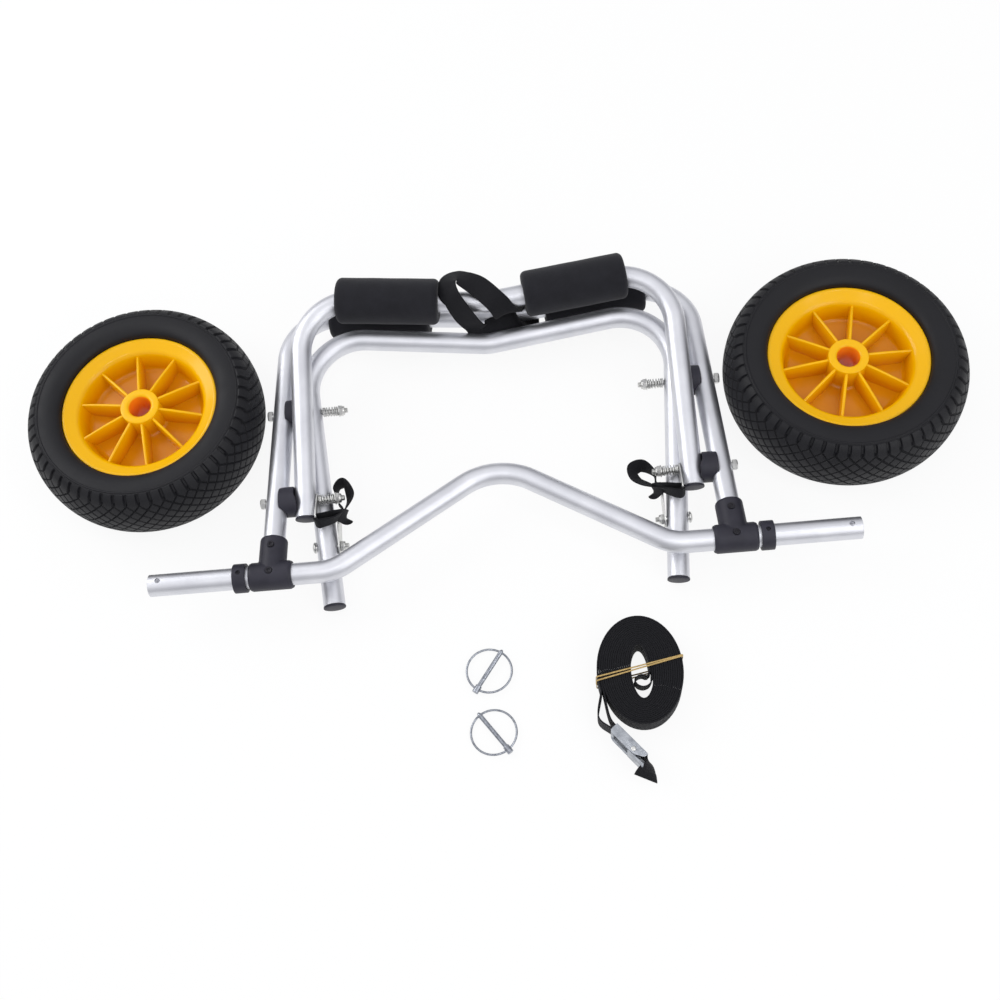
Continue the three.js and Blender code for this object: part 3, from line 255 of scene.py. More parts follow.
def worked(mesh, *steps):
    """The mesh after modifiers, each given as its kind and its settings."""
    work = bpy.data.objects.new("work", mesh)
    bpy.context.collection.objects.link(work)
    for kind, settings in steps:
        modifier = work.modifiers.new(kind, kind)
        for name, value in settings.items():
            setattr(modifier, name, value)
    made = bpy.data.meshes.new_from_object(work.evaluated_get(bpy.context.evaluated_depsgraph_get()))
    bpy.data.objects.remove(work)
    return made


def carved(mesh, cuts, joins=()):
    """The mesh joined with some solids, then cut by others."""
    tools = []
    steps = []
    for operation, solids in (("UNION", joins), ("DIFFERENCE", cuts)):
        for shape in solids:
            tool = bpy.data.objects.new("tool", shape)
            bpy.context.collection.objects.link(tool)
            tools.append(tool)
            steps.append(("BOOLEAN", {"operation": operation, "object": tool, "solver": "MANIFOLD"}))
    made = worked(mesh, *steps)
    for tool in tools:
        bpy.data.objects.remove(tool)
    return made


def show(name, mesh, finish, body, slot, *nodes, sharp=35):
    """Puts a finished mesh in the scene: smooth but for its edges, on its body, in place of its CAD nodes."""
    piece = bpy.data.objects.new(name, mesh)
    bpy.context.collection.objects.link(piece)
    mesh.materials.clear()
    mesh.materials.append(finish)
    mesh.polygons.foreach_set("material_index", np.zeros(len(mesh.polygons), np.int32))
    mesh.polygons.foreach_set("use_smooth", np.ones(len(mesh.polygons), bool))
    mesh.set_sharp_from_angle(angle=math.radians(sharp))
    mesh.update()
    if body:
        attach(piece, body)
    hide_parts(*nodes)
    return piece


def ring_of(radius, sides):
    """Points round a circle, the first on the first axis."""
    angle = np.linspace(0, 2 * math.pi, sides, endpoint=False)
    return radius * np.stack((np.cos(angle), np.sin(angle)), -1)


def bent(corners, bends):
    """Straight runs between corners, each corner an arc of its own radius with a point every 3 degrees."""
    corners = np.array([(x, y, 0) for x, y in corners], float)
    runs = unit(np.diff(corners, axis=0))
    line = [corners[:1]]
    for before, after, corner, bend in zip(runs[:-1], runs[1:], corners[1:-1], bends):
        turn = math.acos(before @ after)
        inward = unit(after - (before @ after) * before)
        angle = np.linspace(0, turn, round(turn / math.radians(3)) + 2)[:, None]
        start = corner - before * bend * math.tan(turn / 2)
        line.append(start + before * bend * np.sin(angle) + inward * bend * (1 - np.cos(angle)))
    return np.concatenate((*line, corners[-1:]))


def carried(line, upright, section, closed=False):
    """A section carried along a line: its first coordinate lies aside, square to the line and to the upright
    direction, and its second lies along the upright direction made square to the line. The section is one
    for the whole line or one for each point of it."""
    ahead = np.roll(line, -1, 0) - np.roll(line, 1, 0) if closed else np.gradient(line, axis=0)
    aside = unit(np.cross(ahead, upright))
    upward = unit(np.cross(aside, ahead))
    return line[:, None] + section[..., :1] * aside[:, None] + section[..., 1:] * upward[:, None]


def round_about(profile, start, run, sides, shape=None):
    """Rings about a line from start along run. Each row of the profile is a distance along it and a radius,
    and shape may turn a radius at an angle into another, such as a hexagon's."""
    along, radius = np.asarray(profile, float).T
    run = unit(run)
    aside = unit(np.cross(run, (0.1, 0.2, 1.0) if abs(run[2]) < 0.9 else (1.0, 0, 0)))
    angle = np.linspace(0, 2 * math.pi, sides, endpoint=False)
    reach = np.repeat(radius[:, None], sides, 1)
    if shape:
        reach = shape(reach, angle[None])
    wheel = np.cos(angle)[:, None] * aside + np.sin(angle)[:, None] * np.cross(run, aside)
    return np.asarray(start, float) + along[:, None, None] * run + reach[..., None] * wheel[None]


def lathed(profile, start, run, sides, place, shape=None, closed=False):
    """A solid of rings about a line. Its profile starts and ends on the line, or is closed round a bore."""
    return sealed(skin(round_about(profile, start, run, sides, shape), place, round_rows=closed))


def rod(radius, start, end, place, sides=32):
    """A plain round bar between two points, for drilling and cutting."""
    run = np.asarray(end, float) - start
    length = np.linalg.norm(run)
    return lathed([(0, 0), (0, radius), (length, radius), (length, 0)], start, run, sides, place)


def tube(line, place):
    """A tube along a line: the outer wall there, the inner wall back, joined round ends with broken edges."""
    edge = 0.3
    near_ends = line[[0, -1]] + edge * unit(line[[1, -2]] - line[[0, -1]])
    line = np.concatenate((line[:1], near_ends[:1], line[1:-1], near_ends[1:], line[-1:]))
    reach = np.zeros(len(line))
    reach[[0, -1]] = edge
    walls = [
        carried(line, (0, 0, 1), radius[:, None, None] * ring_of(1, 44))
        for radius in (tube_radius - reach, tube_radius - tube_wall + reach)
    ]
    return sealed(skin(np.concatenate((walls[0], walls[1][::-1])), place, round_rows=True))


def lengthwise(tree, along, across):
    """The piece's own lengths along and across, each stretched by its own number of repeats a metre."""
    lengths = add(tree, "UVMap", uv_map="lengths").outputs[0]
    return add(tree, "Mapping", {"Vector": lengths, "Scale": (along, across, 1)}).outputs[0]


def finish_of(name, metallic=0.0, **sockets):
    """A new material: its node tree and its main shader, with the sockets that are the same all over."""
    made = bpy.data.materials.new(name)
    made.use_nodes = True
    shader = made.node_tree.nodes["Principled BSDF"]
    shader.inputs["Metallic"].default_value = metallic
    for socket, value in sockets.items():
        shader.inputs[socket.replace("_", " ")].default_value = value
    return made, made.node_tree, shader


def dress(tree, shader, base, roughness, grain, depth, strength=1.0):
    """Links colour, roughness and a height in metres to a shader."""
    tree.links.new(base, shader.inputs["Base Color"])
    tree.links.new(roughness, shader.inputs["Roughness"])
    bump = add(tree, "Bump", {"Height": grain, "Distance": depth, "Strength": strength})
    tree.links.new(bump.outputs[0], shader.inputs["Normal"])


satin_tube, tree, shader = finish_of("satin_aluminium", metallic=1.0)
drawn = add(tree, "TexNoise", {"Vector": lengthwise(tree, 6, 1400), "Scale": 1.0, "Detail": 3.0})
cloudy = add(tree, "TexNoise", {"Vector": lengthwise(tree, 30, 30), "Scale": 1.0, "Detail": 4.0})
dress(
    tree, shader,
    ramp(tree, cloudy.outputs[0], (0.3, colour(214, 215, 221)), (0.7, colour(228, 229, 234))),
    ramp(tree, drawn.outputs[0], (0.3, 0.40), (0.7, 0.50)),
    drawn.outputs[0], 2e-5, 0.5,
)


def leg_x(s):
    """How far aside the main frame's leg lies at a distance s from the axle."""
    return main_half_width - s * math.tan(main_lean)


def stand_leg_x(s):
    """How far aside the kickstand's leg lies at a distance s above its pivot."""
    return stand_half_width + s * math.tan(stand_lean)


def u_frame(foot_x, foot, corner_x, corner, dip, bend):
    """A U of tube from the right foot over the dipped bar to the left foot."""
    middle = corner - corner_x * math.tan(math.radians(dip))
    corners = [(foot_x, foot), (corner_x, corner), (0, middle), (-corner_x, corner), (-foot_x, foot)]
    return bent(corners, (bend, dip_bend, bend))


def cross_hole(x, y, place):
    """A drill along X through a leg at x and y."""
    return rod(bolt_hole, (x - drill_half, y, 0), (x + drill_half, y, 0), place)


cradle_half_width = leg_x(lower_pivot) - 2 * tube_radius - spacer_web
stand_half_width = leg_x(upper_pivot) - 2 * tube_radius - spacer_web
hump_rise = hump_foot * math.tan(hump_slope)
axle_corners = [
    (axle_half_length, 0), (hump_foot, 0), (0, hump_rise), (-hump_foot, 0), (-axle_half_length, 0),
]
axle_line = bent(axle_corners, axle_bends)
main_line = u_frame(leg_x(leg_seat), leg_seat, leg_x(main_bar_at), main_bar_at, main_dip, main_bend)
cradle_end = cap_seat - cradle_foot
cradle_line = u_frame(
    cradle_half_width, cradle_end, cradle_half_width, cradle_bar_at, cradle_dip, cradle_bend
)
stand_end = cap_seat - stand_foot
stand_line = u_frame(
    stand_leg_x(stand_end), stand_end, stand_leg_x(stand_bar_at), stand_bar_at, stand_dip, stand_bend
)
signs = {"left": -1, "right": 1}
both = tuple(signs.values())
pin_hole_x = axle_half_length - pin_hole_inset
axle_holes = [
    rod(pin_hole_radius, (side * pin_hole_x, 0, -drill_half), (side * pin_hole_x, 0, drill_half), on_main)
    for side in both
]
main_holes = [
    cross_hole(side * leg_x(at), at, on_main) for side in both for at in (lower_pivot, upper_pivot)
]
cradle_holes = [cross_hole(side * cradle_half_width, 0, on_cradle) for side in both]
stand_holes = [
    cross_hole(side * stand_leg_x(at), at, on_stand) for side in both for at in (0, -stand_bolt_at)
]
for node, line, place, body, holes in (
    ("axle_tube", axle_line, on_main, "cart", axle_holes),
    ("main_frame", main_line, on_main, "cart", main_holes),
    ("cradle_frame", cradle_line, on_cradle, "cradle", cradle_holes),
    ("kickstand_frame", stand_line, on_stand, "kickstand", stand_holes),
):
    show(node + "_metal", carved(tube(line, place), holes), satin_tube, body, "tube", node)

# End plugs: moulded plastic, pushed into the open ends of the cradle's and the kickstand's legs, with a low
# domed head that covers the tube's end.
def softened(corners, ease, closed=False, steps=3):
    """A line with its corners eased: each gives way to a short curve that starts and ends at its ease's
    distance from it, or at 0.45 of the shorter side. One ease holds for all corners, or there is a list."""
    corners = np.asarray(corners, float)
    before = np.roll(corners, 1, 0) - corners
    after = np.roll(corners, -1, 0) - corners
    sizes = [np.linalg.norm(side, axis=1, keepdims=True) for side in (before, after)]
    cut = np.minimum(np.reshape(ease, (-1, 1)), 0.45 * np.minimum(*sizes))
    low = corners + before / np.maximum(sizes[0], 1e-9) * cut
    high = corners + after / np.maximum(sizes[1], 1e-9) * cut
    t = np.linspace(0, 1, steps + 1)[None, :, None]
    curve = (1 - t) ** 2 * low[:, None] + 2 * t * (1 - t) * corners[:, None] + t ** 2 * high[:, None]
    if closed:
        return curve.reshape(-1, corners.shape[1])
    return np.concatenate((corners[:1], curve[1:-1].reshape(-1, corners.shape[1]), corners[-1:]))


def speckle(tree, scale, detail=2.0, roughness=0.5):
    """Noise of the piece's own coordinates, from 0 to 1, with so many repeats a metre."""
    where = add(tree, "TexCoord").outputs["Object"]
    inputs = {"Vector": where, "Scale": scale, "Detail": detail, "Roughness": roughness}
    return add(tree, "TexNoise", inputs).outputs[0]


moulded, tree, shader = finish_of("moulded_plastic", Specular_IOR_Level=0.3)
patchy = speckle(tree, 45.0, 5.0)
dress(
    tree, shader,
    ramp(tree, patchy, (0.3, colour(37, 36, 45)), (0.7, colour(49, 48, 58))),
    ramp(tree, patchy, (0.3, 0.42), (0.75, 0.58)),
    speckle(tree, 2200.0, 3.0), 6e-5,
)
plug_profile = softened(
    [(0, 0), (0.5, 8.0), (1.0, 11.4), (3.0, 11.4), (3.0, 9.2), (15.0, 9.0), (15.0, 0)], 0.6
)
for side, sign in signs.items():
    for node, body, place, leg, foot in (
        ("cradle_end_cap_", "cradle", on_cradle, lambda s: cradle_half_width, cradle_foot),
        ("kickstand_foot_", "kickstand", on_stand, stand_leg_x, stand_foot),
    ):
        face = np.array((sign * leg(-foot), -foot, 0))
        run = np.array((sign * leg(0), 0, 0)) - face
        plug = lathed(plug_profile, face, run, 44, place)
        show(node + side + "_moulding", plug, moulded, body, "fitting", node + side)

# Tees: one moulding each, a barrel on the axle and a stem that takes the leg of the main frame, with a
# sunk socket screw in each. Outside them sits a stop collar with its own set screw.
tee_barrel_length = 43.4
tee_barrel_radius = 14.5
tee_rim_radius = 13.6
tee_stem_end = 40.0
stem_screw_at = 29.0
socket_reach = 1.95
tube_bore = tube_radius + 0.25
screw_seat = 13.2
screw_well, set_screw_well, well_top = 3.7, 2.3, 20
collar_width = 13.0
collar_gap = 2.7
collar_radius = 14.75


def hexagon(reach, angle):
    """The radius of a hexagon at an angle, whose corners lie at the given reach."""
    turn = (angle + math.pi / 6) % (math.pi / 3) - math.pi / 6
    return reach * math.cos(math.pi / 6) / np.cos(np.abs(turn) - math.pi / 6)


def socketed(reach, angle):
    """Small radii turned into a hexagon's, so that the screw's head has a key socket."""
    return np.where(reach < socket_reach, hexagon(reach, angle), reach)


blackened, tree, shader = finish_of("blackened_steel", metallic=0.8)
oiled = speckle(tree, 900.0, 3.0)
dress(
    tree, shader,
    ramp(tree, oiled, (0.3, colour(34, 33, 38)), (0.7, colour(58, 57, 62))),
    ramp(tree, oiled, (0.3, 0.35), (0.7, 0.55)),
    oiled, 2e-5,
)
screw_profile = softened(
    [(-4.4, 0), (-4.4, 1.7), (0, 1.7), (0, 3.3), (1.4, 3.3), (1.4, 1.9), (0.4, 1.8), (0.4, 0)], 0.3
)
set_screw_profile = softened([(-3, 0), (-3, 1.9), (0, 1.9), (0, 1.2), (-1, 1.15), (-1, 0)], 0.2)
rim_ends = (2.2, tee_barrel_length - 2.2)
barrel_profile = softened(
    [(0, 0), (0, tee_rim_radius), (rim_ends[0], tee_rim_radius), (rim_ends[0], tee_barrel_radius),
     (rim_ends[1], tee_barrel_radius), (rim_ends[1], tee_rim_radius), (tee_barrel_length, tee_rim_radius),
     (tee_barrel_length, 0)], 0.8
)
stem_profile = softened(
    [(0, 0), (0, 14.0), (tee_stem_end - 2, 13.9), (tee_stem_end, 13.0), (tee_stem_end, 0)], 1.2
)
remeshed = ("REMESH", {"mode": "VOXEL", "voxel_size": 0.0007, "adaptivity": 0.0})
smoothed = ("SMOOTH", {"factor": 0.5, "iterations": 4})
for side, sign in signs.items():
    inner = sign * (main_half_width - tee_barrel_length / 2)
    outer = sign * (main_half_width + tee_barrel_length / 2)
    stem_foot = np.array((sign * leg_x(0), 0, 0))
    stem_run = np.array((sign * leg_x(1), 1, 0)) - stem_foot
    barrel = lathed(barrel_profile, (inner, 0, 0), (sign, 0, 0), 64, on_main)
    stem = lathed(stem_profile, stem_foot, stem_run, 64, on_main)
    screw_spots = {
        "barrel": (sign * main_half_width, 0),
        "stem": (sign * leg_x(stem_screw_at), stem_screw_at),
    }
    cuts = [
        rod(tube_bore, (inner - sign * 4, 0, 0), (outer + sign * 4, 0, 0), on_main, 48),
        rod(tube_bore, stem_foot + stem_run * leg_seat, stem_foot + stem_run * 60, on_main, 48),
    ]
    cuts += [
        rod(screw_well, (x, y, screw_seat - 0.3), (x, y, well_top), on_main)
        for x, y in screw_spots.values()
    ]
    tee = worked(carved(barrel, cuts, [stem]), remeshed, smoothed)
    show(f"tee_{side}_moulding", tee, moulded, "cart", "fitting", "tee_" + side)
    for spot, (x, y) in screw_spots.items():
        screw = lathed(screw_profile, (x, y, screw_seat), (0, 0, 1), 36, on_main, socketed)
        show(f"{spot}_screw_{side}_steel", screw, blackened, "cart", "zinc", f"{spot}_screw_{side}")
    start = outer + sign * collar_gap
    collar_profile = softened(
        [(0, tube_bore), (0, collar_radius), (collar_width, collar_radius), (collar_width, tube_bore)],
        0.9, True,
    )
    collar = lathed(collar_profile, (start, 0, 0), (sign, 0, 0), 64, on_main, closed=True)
    screw_x = start + sign * collar_width / 2
    collar = carved(collar, [rod(set_screw_well, (screw_x, 0, 0), (screw_x, 0, well_top), on_main)])
    show(f"stop_collar_{side}_moulding", collar, moulded, "cart", "fitting", "stop_collar_" + side)
    screw_at = (screw_x, 0, collar_radius - 0.6)
    set_screw = lathed(set_screw_profile, screw_at, (0, 0, 1), 30, on_main, socketed)
    show(f"collar_screw_{side}", set_screw, blackened, "cart", "zinc")

# Foam sleeves: two on the main bar, two on the cradle bar, of closed-cell foam with a fine matt skin,
# pushed on from the middle, with soft square ends.
pad_radius = 24.35
pad_ease = 6.0
pad_shift = 3.0
floor_up = np.array((0, 0, 1.0))
foam, tree, shader = finish_of("closed_foam", Sheen_Weight=0.1, Sheen_Roughness=0.5, Specular_IOR_Level=0.2)
cells = add(tree, "TexVoronoi", {"Vector": add(tree, "TexCoord").outputs["Object"], "Scale": 1300.0})
surface = add(tree, "Math", {0: cells.outputs[0], 1: speckle(tree, 700.0, 4.0)}, operation="ADD")
mottled = speckle(tree, 60.0, 6.0, 0.65)
dress(
    tree, shader,
    ramp(tree, mottled, (0.3, colour(24, 24, 29)), (0.75, colour(36, 36, 41))),
    ramp(tree, mottled, (0.3, 0.78), (0.75, 0.95)),
    surface.outputs[0], 1.5e-4, 0.7,
)


def sleeve(line, start, end, sign):
    """A foam sleeve along a bar's straight run from x = start to x = end: the outside there, the bore back.
    The outside is a circle that swells and dips by a tenth of a millimetre, and rounds over at the ends."""
    order = np.argsort(line[:, 0])
    inset = pad_ease * (1 - np.cos(np.linspace(0, math.pi / 2, 9)))
    plain = np.linspace(start + pad_ease, end - pad_ease, 60)[1:-1]
    x = np.concatenate((start + inset, plain, (end - inset)[::-1]))
    short = np.maximum(pad_ease - np.minimum(x - start, end - x), 0)
    rounding = pad_ease - np.sqrt(pad_ease ** 2 - short ** 2)
    beside = np.interp((start, end - 2 * pad_ease), line[order, 0], line[order, 1])
    slope = (beside[1] - beside[0]) / (end - 2 * pad_ease - start)
    middle = np.stack((x * sign, beside[0] + (x - start) * slope, 0 * x), -1)
    circle = ring_of(1, 72)
    angle = np.arctan2(circle[:, 1], circle[:, 0])
    waver = 0.12 * np.sin(3 * angle[None] + x[:, None] / 17) * np.sin(x[:, None] / 9 + 2 * angle[None])
    reach = pad_radius - rounding[:, None] + waver
    outside = carried(middle, floor_up, reach[..., None] * circle)
    bore = carried(middle, floor_up, tube_bore * circle)
    return np.concatenate((outside, bore[::-1]))


for side, sign in signs.items():
    for name, body, place, line, start, end in (
        ("main_pad_", "cart", on_main, main_line, 62.5, 172.0),
        ("cradle_pad_", "cradle", on_cradle, cradle_line, 45.0 - pad_shift * sign, 153.5 - pad_shift * sign),
    ):
        pad = sealed(skin(sleeve(line, start, end, sign), place, round_rows=True))
        piece = show(name + side + "_foam", pad, foam, body, "foam", name + side, sharp=60)

# Spacers: moulded plastic bosses between the legs at the four pivots, each held by the bolt through it. A
# trough on each side fits the tube there, and is cut as far round as the tube swings.
spacer_radius = 15.8
spacer_lap = (7.6, 3.0)
trough_half = 30.0
bore_from, bore_to = 120, 260
saddle_from, saddle_to = 60, 200
pivots = {
    "lower": (lower_pivot, cradle_half_width, 0.0, cradle_turn, math.radians(50)),
    "upper": (upper_pivot, stand_half_width, stand_lean, stand_turn, math.radians(30)),
}


def leg_rod(at, x, lean, angle):
    """A bar the size of a leg through a pivot, leaning aside and turned about X."""
    run = np.array((math.copysign(1, x) * math.sin(lean), math.cos(lean) * math.cos(angle),
                    math.cos(lean) * math.sin(angle)))
    middle = np.array((x, at, 0))
    return rod(tube_bore, middle - trough_half * run, middle + trough_half * run, on_main, 40)


for level, (at, inner_x, lean, rest, swing) in pivots.items():
    for side, sign in signs.items():
        outer_end = leg_x(at) - tube_radius + spacer_lap[0]
        length = outer_end - (inner_x + tube_radius - spacer_lap[1])
        block = softened([(0, 0), (0, spacer_radius), (length, spacer_radius), (length, 0)], 1.2)
        boss = lathed(block, (sign * outer_end, at, 0), (-sign, 0, 0), 64, on_main)
        angles = np.linspace(rest - 0.05, rest + swing + 0.05, 9)
        cuts = [leg_rod(at, sign * leg_x(at), -main_lean, 0.0)]
        cuts += [leg_rod(at, sign * inner_x, lean, angle) for angle in angles]
        if level == "upper":
            base = np.array((sign * cradle_half_width, lower_pivot, 0))
            over = np.array((0, math.cos(cradle_turn), math.sin(cradle_turn)))
            cuts.append(rod(tube_bore, base + saddle_from * over, base + saddle_to * over, on_main, 40))
        cuts.append(rod(bolt_hole, (sign * bore_to, at, 0), (sign * bore_from, at, 0), on_main))
        boss = worked(carved(boss, cuts), remeshed, smoothed)
        node = f"spacer_{level}_{side}"
        show(node + "_moulding", boss, moulded, "cart", "fitting", node)

# Pivot bolts: long zinc-plated bolts from outside, through leg, spacer and leg, then a spring, a washer and
# a lock nut on the threaded inner end.
clearance = 0.3
head_radius = 5.8
head_length = 5.2
nut_length = 6.3
thread_end = 3.2
thread_sides = 24
thread_depth = 0.55
steps_a_thread = 8
spring_length = 17.0
spring_mean = 4.6
spring_wire = 0.65
spring_turns = 7
washer = 1.0
insert_radius = 4.8
plate_thickness = 1.5
zinc, tree, shader = finish_of("zinc_plate", metallic=1.0)
spangled = speckle(tree, 220.0, 5.0, 0.6)
dress(
    tree, shader,
    ramp(tree, spangled, (0.3, colour(198, 198, 196)), (0.7, colour(228, 228, 226))),
    ramp(tree, spangled, (0.3, 0.28), (0.7, 0.42)),
    speckle(tree, 1600.0), 2e-5,
)
head_profile = softened(
    [(0, 0), (0, 5.0), (0.4, head_radius), (head_length - 1.2, head_radius), (head_length, 4.6),
     (head_length, 0)], 0.25
)
washer_profile = softened([(0, 3.15), (0, 6.2), (washer, 6.2), (washer, 3.15)], 0.2, True)


def nut_profile(length):
    """A lock nut's outline: the hexagon's corners with broken ends, a round collar for the insert, a bore."""
    return softened(
        [(0, 3.1), (0, 5.1), (0.5, head_radius), (length - 2.2, head_radius), (length - 1.8, 4.75),
         (length - 0.3, 4.6), (length, 3.9), (length, 3.1)], 0.2, True
    )


def hex_head(reach, angle):
    """The radius of a bolt head: round where it is broken at its ends, and a hexagon's elsewhere."""
    return np.minimum(reach, hexagon(head_radius, angle))


def hex_nut(reach, angle):
    """The radius of a lock nut: a bolt head's, but round at its collar and its bore."""
    return np.where(reach > insert_radius, hex_head(reach, angle), reach)


def shank(start, sign, length, plain_length, y):
    """A shank along X with a screw thread: its radius is a triangle wave of the distance less the turn."""
    steps = round((length - plain_length) * steps_a_thread)
    along = np.concatenate(((0.0,), plain_length + np.arange(steps + 1) / steps_a_thread))
    angle = np.linspace(0, 2 * math.pi, thread_sides, endpoint=False)
    phase = (along[:, None] - angle[None] / (2 * math.pi)) % 1.0
    reach = bolt_radius - 0.1 - thread_depth * np.abs(2 * phase - 1) * (along[:, None] > plain_length)
    reach *= np.clip((length + 0.6 - along) / 1.2, 0, 1)[:, None] ** 0.25
    ring = np.stack((along[:, None] + 0 * angle, reach * np.cos(angle), reach * np.sin(angle)), -1)
    ends = ring[[0, -1]] * (1, 0, 0)
    grid = np.concatenate((ends[:1], ring, ends[1:]))
    return grid * (sign * -1, 1, 1) + (start, y, 0)


def capped(grid):
    """A grid of rings with a flat end at both its first and its last ring."""
    middles = np.repeat(grid.mean(1, keepdims=True), grid.shape[1], 1)
    return np.concatenate((middles[:1], grid, middles[-1:]))


def spring(start, sign, y):
    """A wire wound about X. The climb is slower near both ends, so that the end turns lie close."""
    share = np.linspace(0, 1, spring_turns * 26 + 1)
    slowed = share - 0.4 * np.sin(2 * math.pi * share) / (2 * math.pi)
    climb = spring_wire + (spring_length - 2 * spring_wire) * slowed
    angle = share * spring_turns * 2 * math.pi
    around = np.stack((np.zeros_like(angle), np.cos(angle), np.sin(angle)), -1)
    line = around * spring_mean + np.stack((start - sign * climb, np.full_like(angle, y), 0 * angle), -1)
    return capped(carried(line, around, ring_of(spring_wire, 12)))


for level, (at, inner_x, lean, *_) in pivots.items():
    for side, sign in signs.items():
        end = f"{level}_{side}"
        lean_rise = (spring_mean + spring_wire) * math.tan(lean)
        inner_face = inner_x - tube_radius / math.cos(lean) - lean_rise
        head_rise = head_radius * math.tan(main_lean)
        head_x = leg_x(at) + tube_radius / math.cos(main_lean) + head_rise + clearance
        spring_x = inner_face - clearance - (plate_thickness + clearance if level == "lower" else 0)
        nut_x = spring_x - spring_length - clearance
        tip = nut_x - nut_length - thread_end
        head = round_about(head_profile, (sign * head_x, at, 0), (sign, 0, 0), 48, hex_head)
        stem = shank(sign * (head_x + 1), sign, head_x + 1 - tip, head_x + 1 - inner_face - 2, at)
        bolt = sealed(skin(head, on_main), skin(stem, on_main))
        show(f"pivot_bolt_{end}_steel", bolt, zinc, "cart", "zinc", "pivot_bolt_" + end)
        coil = sealed(skin(spring(sign * spring_x, sign, at), on_main))
        show(f"pivot_spring_{end}_wire", coil, zinc, "cart", "zinc", "pivot_spring_" + end)
        ring = lathed(washer_profile, (sign * nut_x, at, 0), (-sign, 0, 0), 40, on_main, closed=True)
        show("pivot_washer_" + end, ring, zinc, "cart", "zinc")
        nut_start = (sign * (nut_x - washer), at, 0)
        profile = nut_profile(nut_length - washer)
        nut = lathed(profile, nut_start, (-sign, 0, 0), 48, on_main, hex_nut, closed=True)
        show(f"pivot_nut_{end}_steel", nut, zinc, "cart", "zinc", "pivot_nut_" + end)

# Strap plates: stamped zinc-plated steel, an eye on a bolt and a slot for the webbing. The anchors hang on
# the lower pivot bolts, and the others are bolted to the kickstand's legs.
plate_width = 21.0
plate_edge = 3.2
slot_width = 16.5
slot_depth = 4.0
anchor_slot_at = 22.0
stand_slot_at = 30.0
anchor_tilt = math.radians(5)
anchor_eye = 6.8
stand_eye = 9.0
stand_nut_length = 4.8
stand_thread_end = 3.6
stand_head_length = 3.2


def stamped(outlines, thickness, edge, basis, at, place):
    """Flat sheet metal within outlines, the first the outside and the rest holes, with its edges broken, laid
    so that its own axes follow the basis and its middle plane goes through a point."""
    sheet = bpy.data.curves.new("sheet", "CURVE")
    sheet.dimensions = "2D"
    sheet.fill_mode = "BOTH"
    sheet.extrude = thickness / 2 - edge
    sheet.bevel_depth = edge
    sheet.bevel_resolution = 1
    sheet.offset = -edge
    for outline in outlines:
        line = sheet.splines.new("POLY")
        line.points.add(len(outline) - 1)
        flat = np.concatenate((outline, np.zeros((len(outline), 1)), np.ones((len(outline), 1))), 1)
        line.points.foreach_set("co", flat.astype(np.float32).ravel())
        line.use_cyclic_u = True
    work = bpy.data.objects.new("work", sheet)
    bpy.context.collection.objects.link(work)
    mesh = bpy.data.meshes.new_from_object(work.evaluated_get(bpy.context.evaluated_depsgraph_get()))
    bpy.data.objects.remove(work)
    points = np.zeros(len(mesh.vertices) * 3, np.float32)
    mesh.vertices.foreach_get("co", points)
    turned = points.reshape(-1, 3) @ np.array(basis, float) + at
    mesh.vertices.foreach_set("co", placed(turned, place).astype(np.float32).ravel())
    return sealed(mesh)


def plate_outlines(eye_radius, slot_at):
    """The eye's half circle widening to a crosspiece, with the bolt's hole and the webbing's slot."""
    angle = np.linspace(math.pi / 2, 3 * math.pi / 2, 25)
    eye = eye_radius * np.stack((np.cos(angle), np.sin(angle)), -1)
    half = plate_width / 2
    shoulder = slot_at - slot_depth / 2 - plate_edge
    end = slot_at + slot_depth / 2 + plate_edge
    crosspiece = softened([(0, -eye_radius), (shoulder, -half), (end, -half), (end, half), (shoulder, half),
                           (0, eye_radius)], 2.4, steps=5)[1:-1]
    across = slot_width / 2
    near, far = slot_at - slot_depth / 2, slot_at + slot_depth / 2
    slot_hole = softened([(near, -across), (near, across), (far, across), (far, -across)], 1.2, True)
    return [np.concatenate((eye, crosspiece)), ring_of(bolt_radius + 0.2, 32), slot_hole]


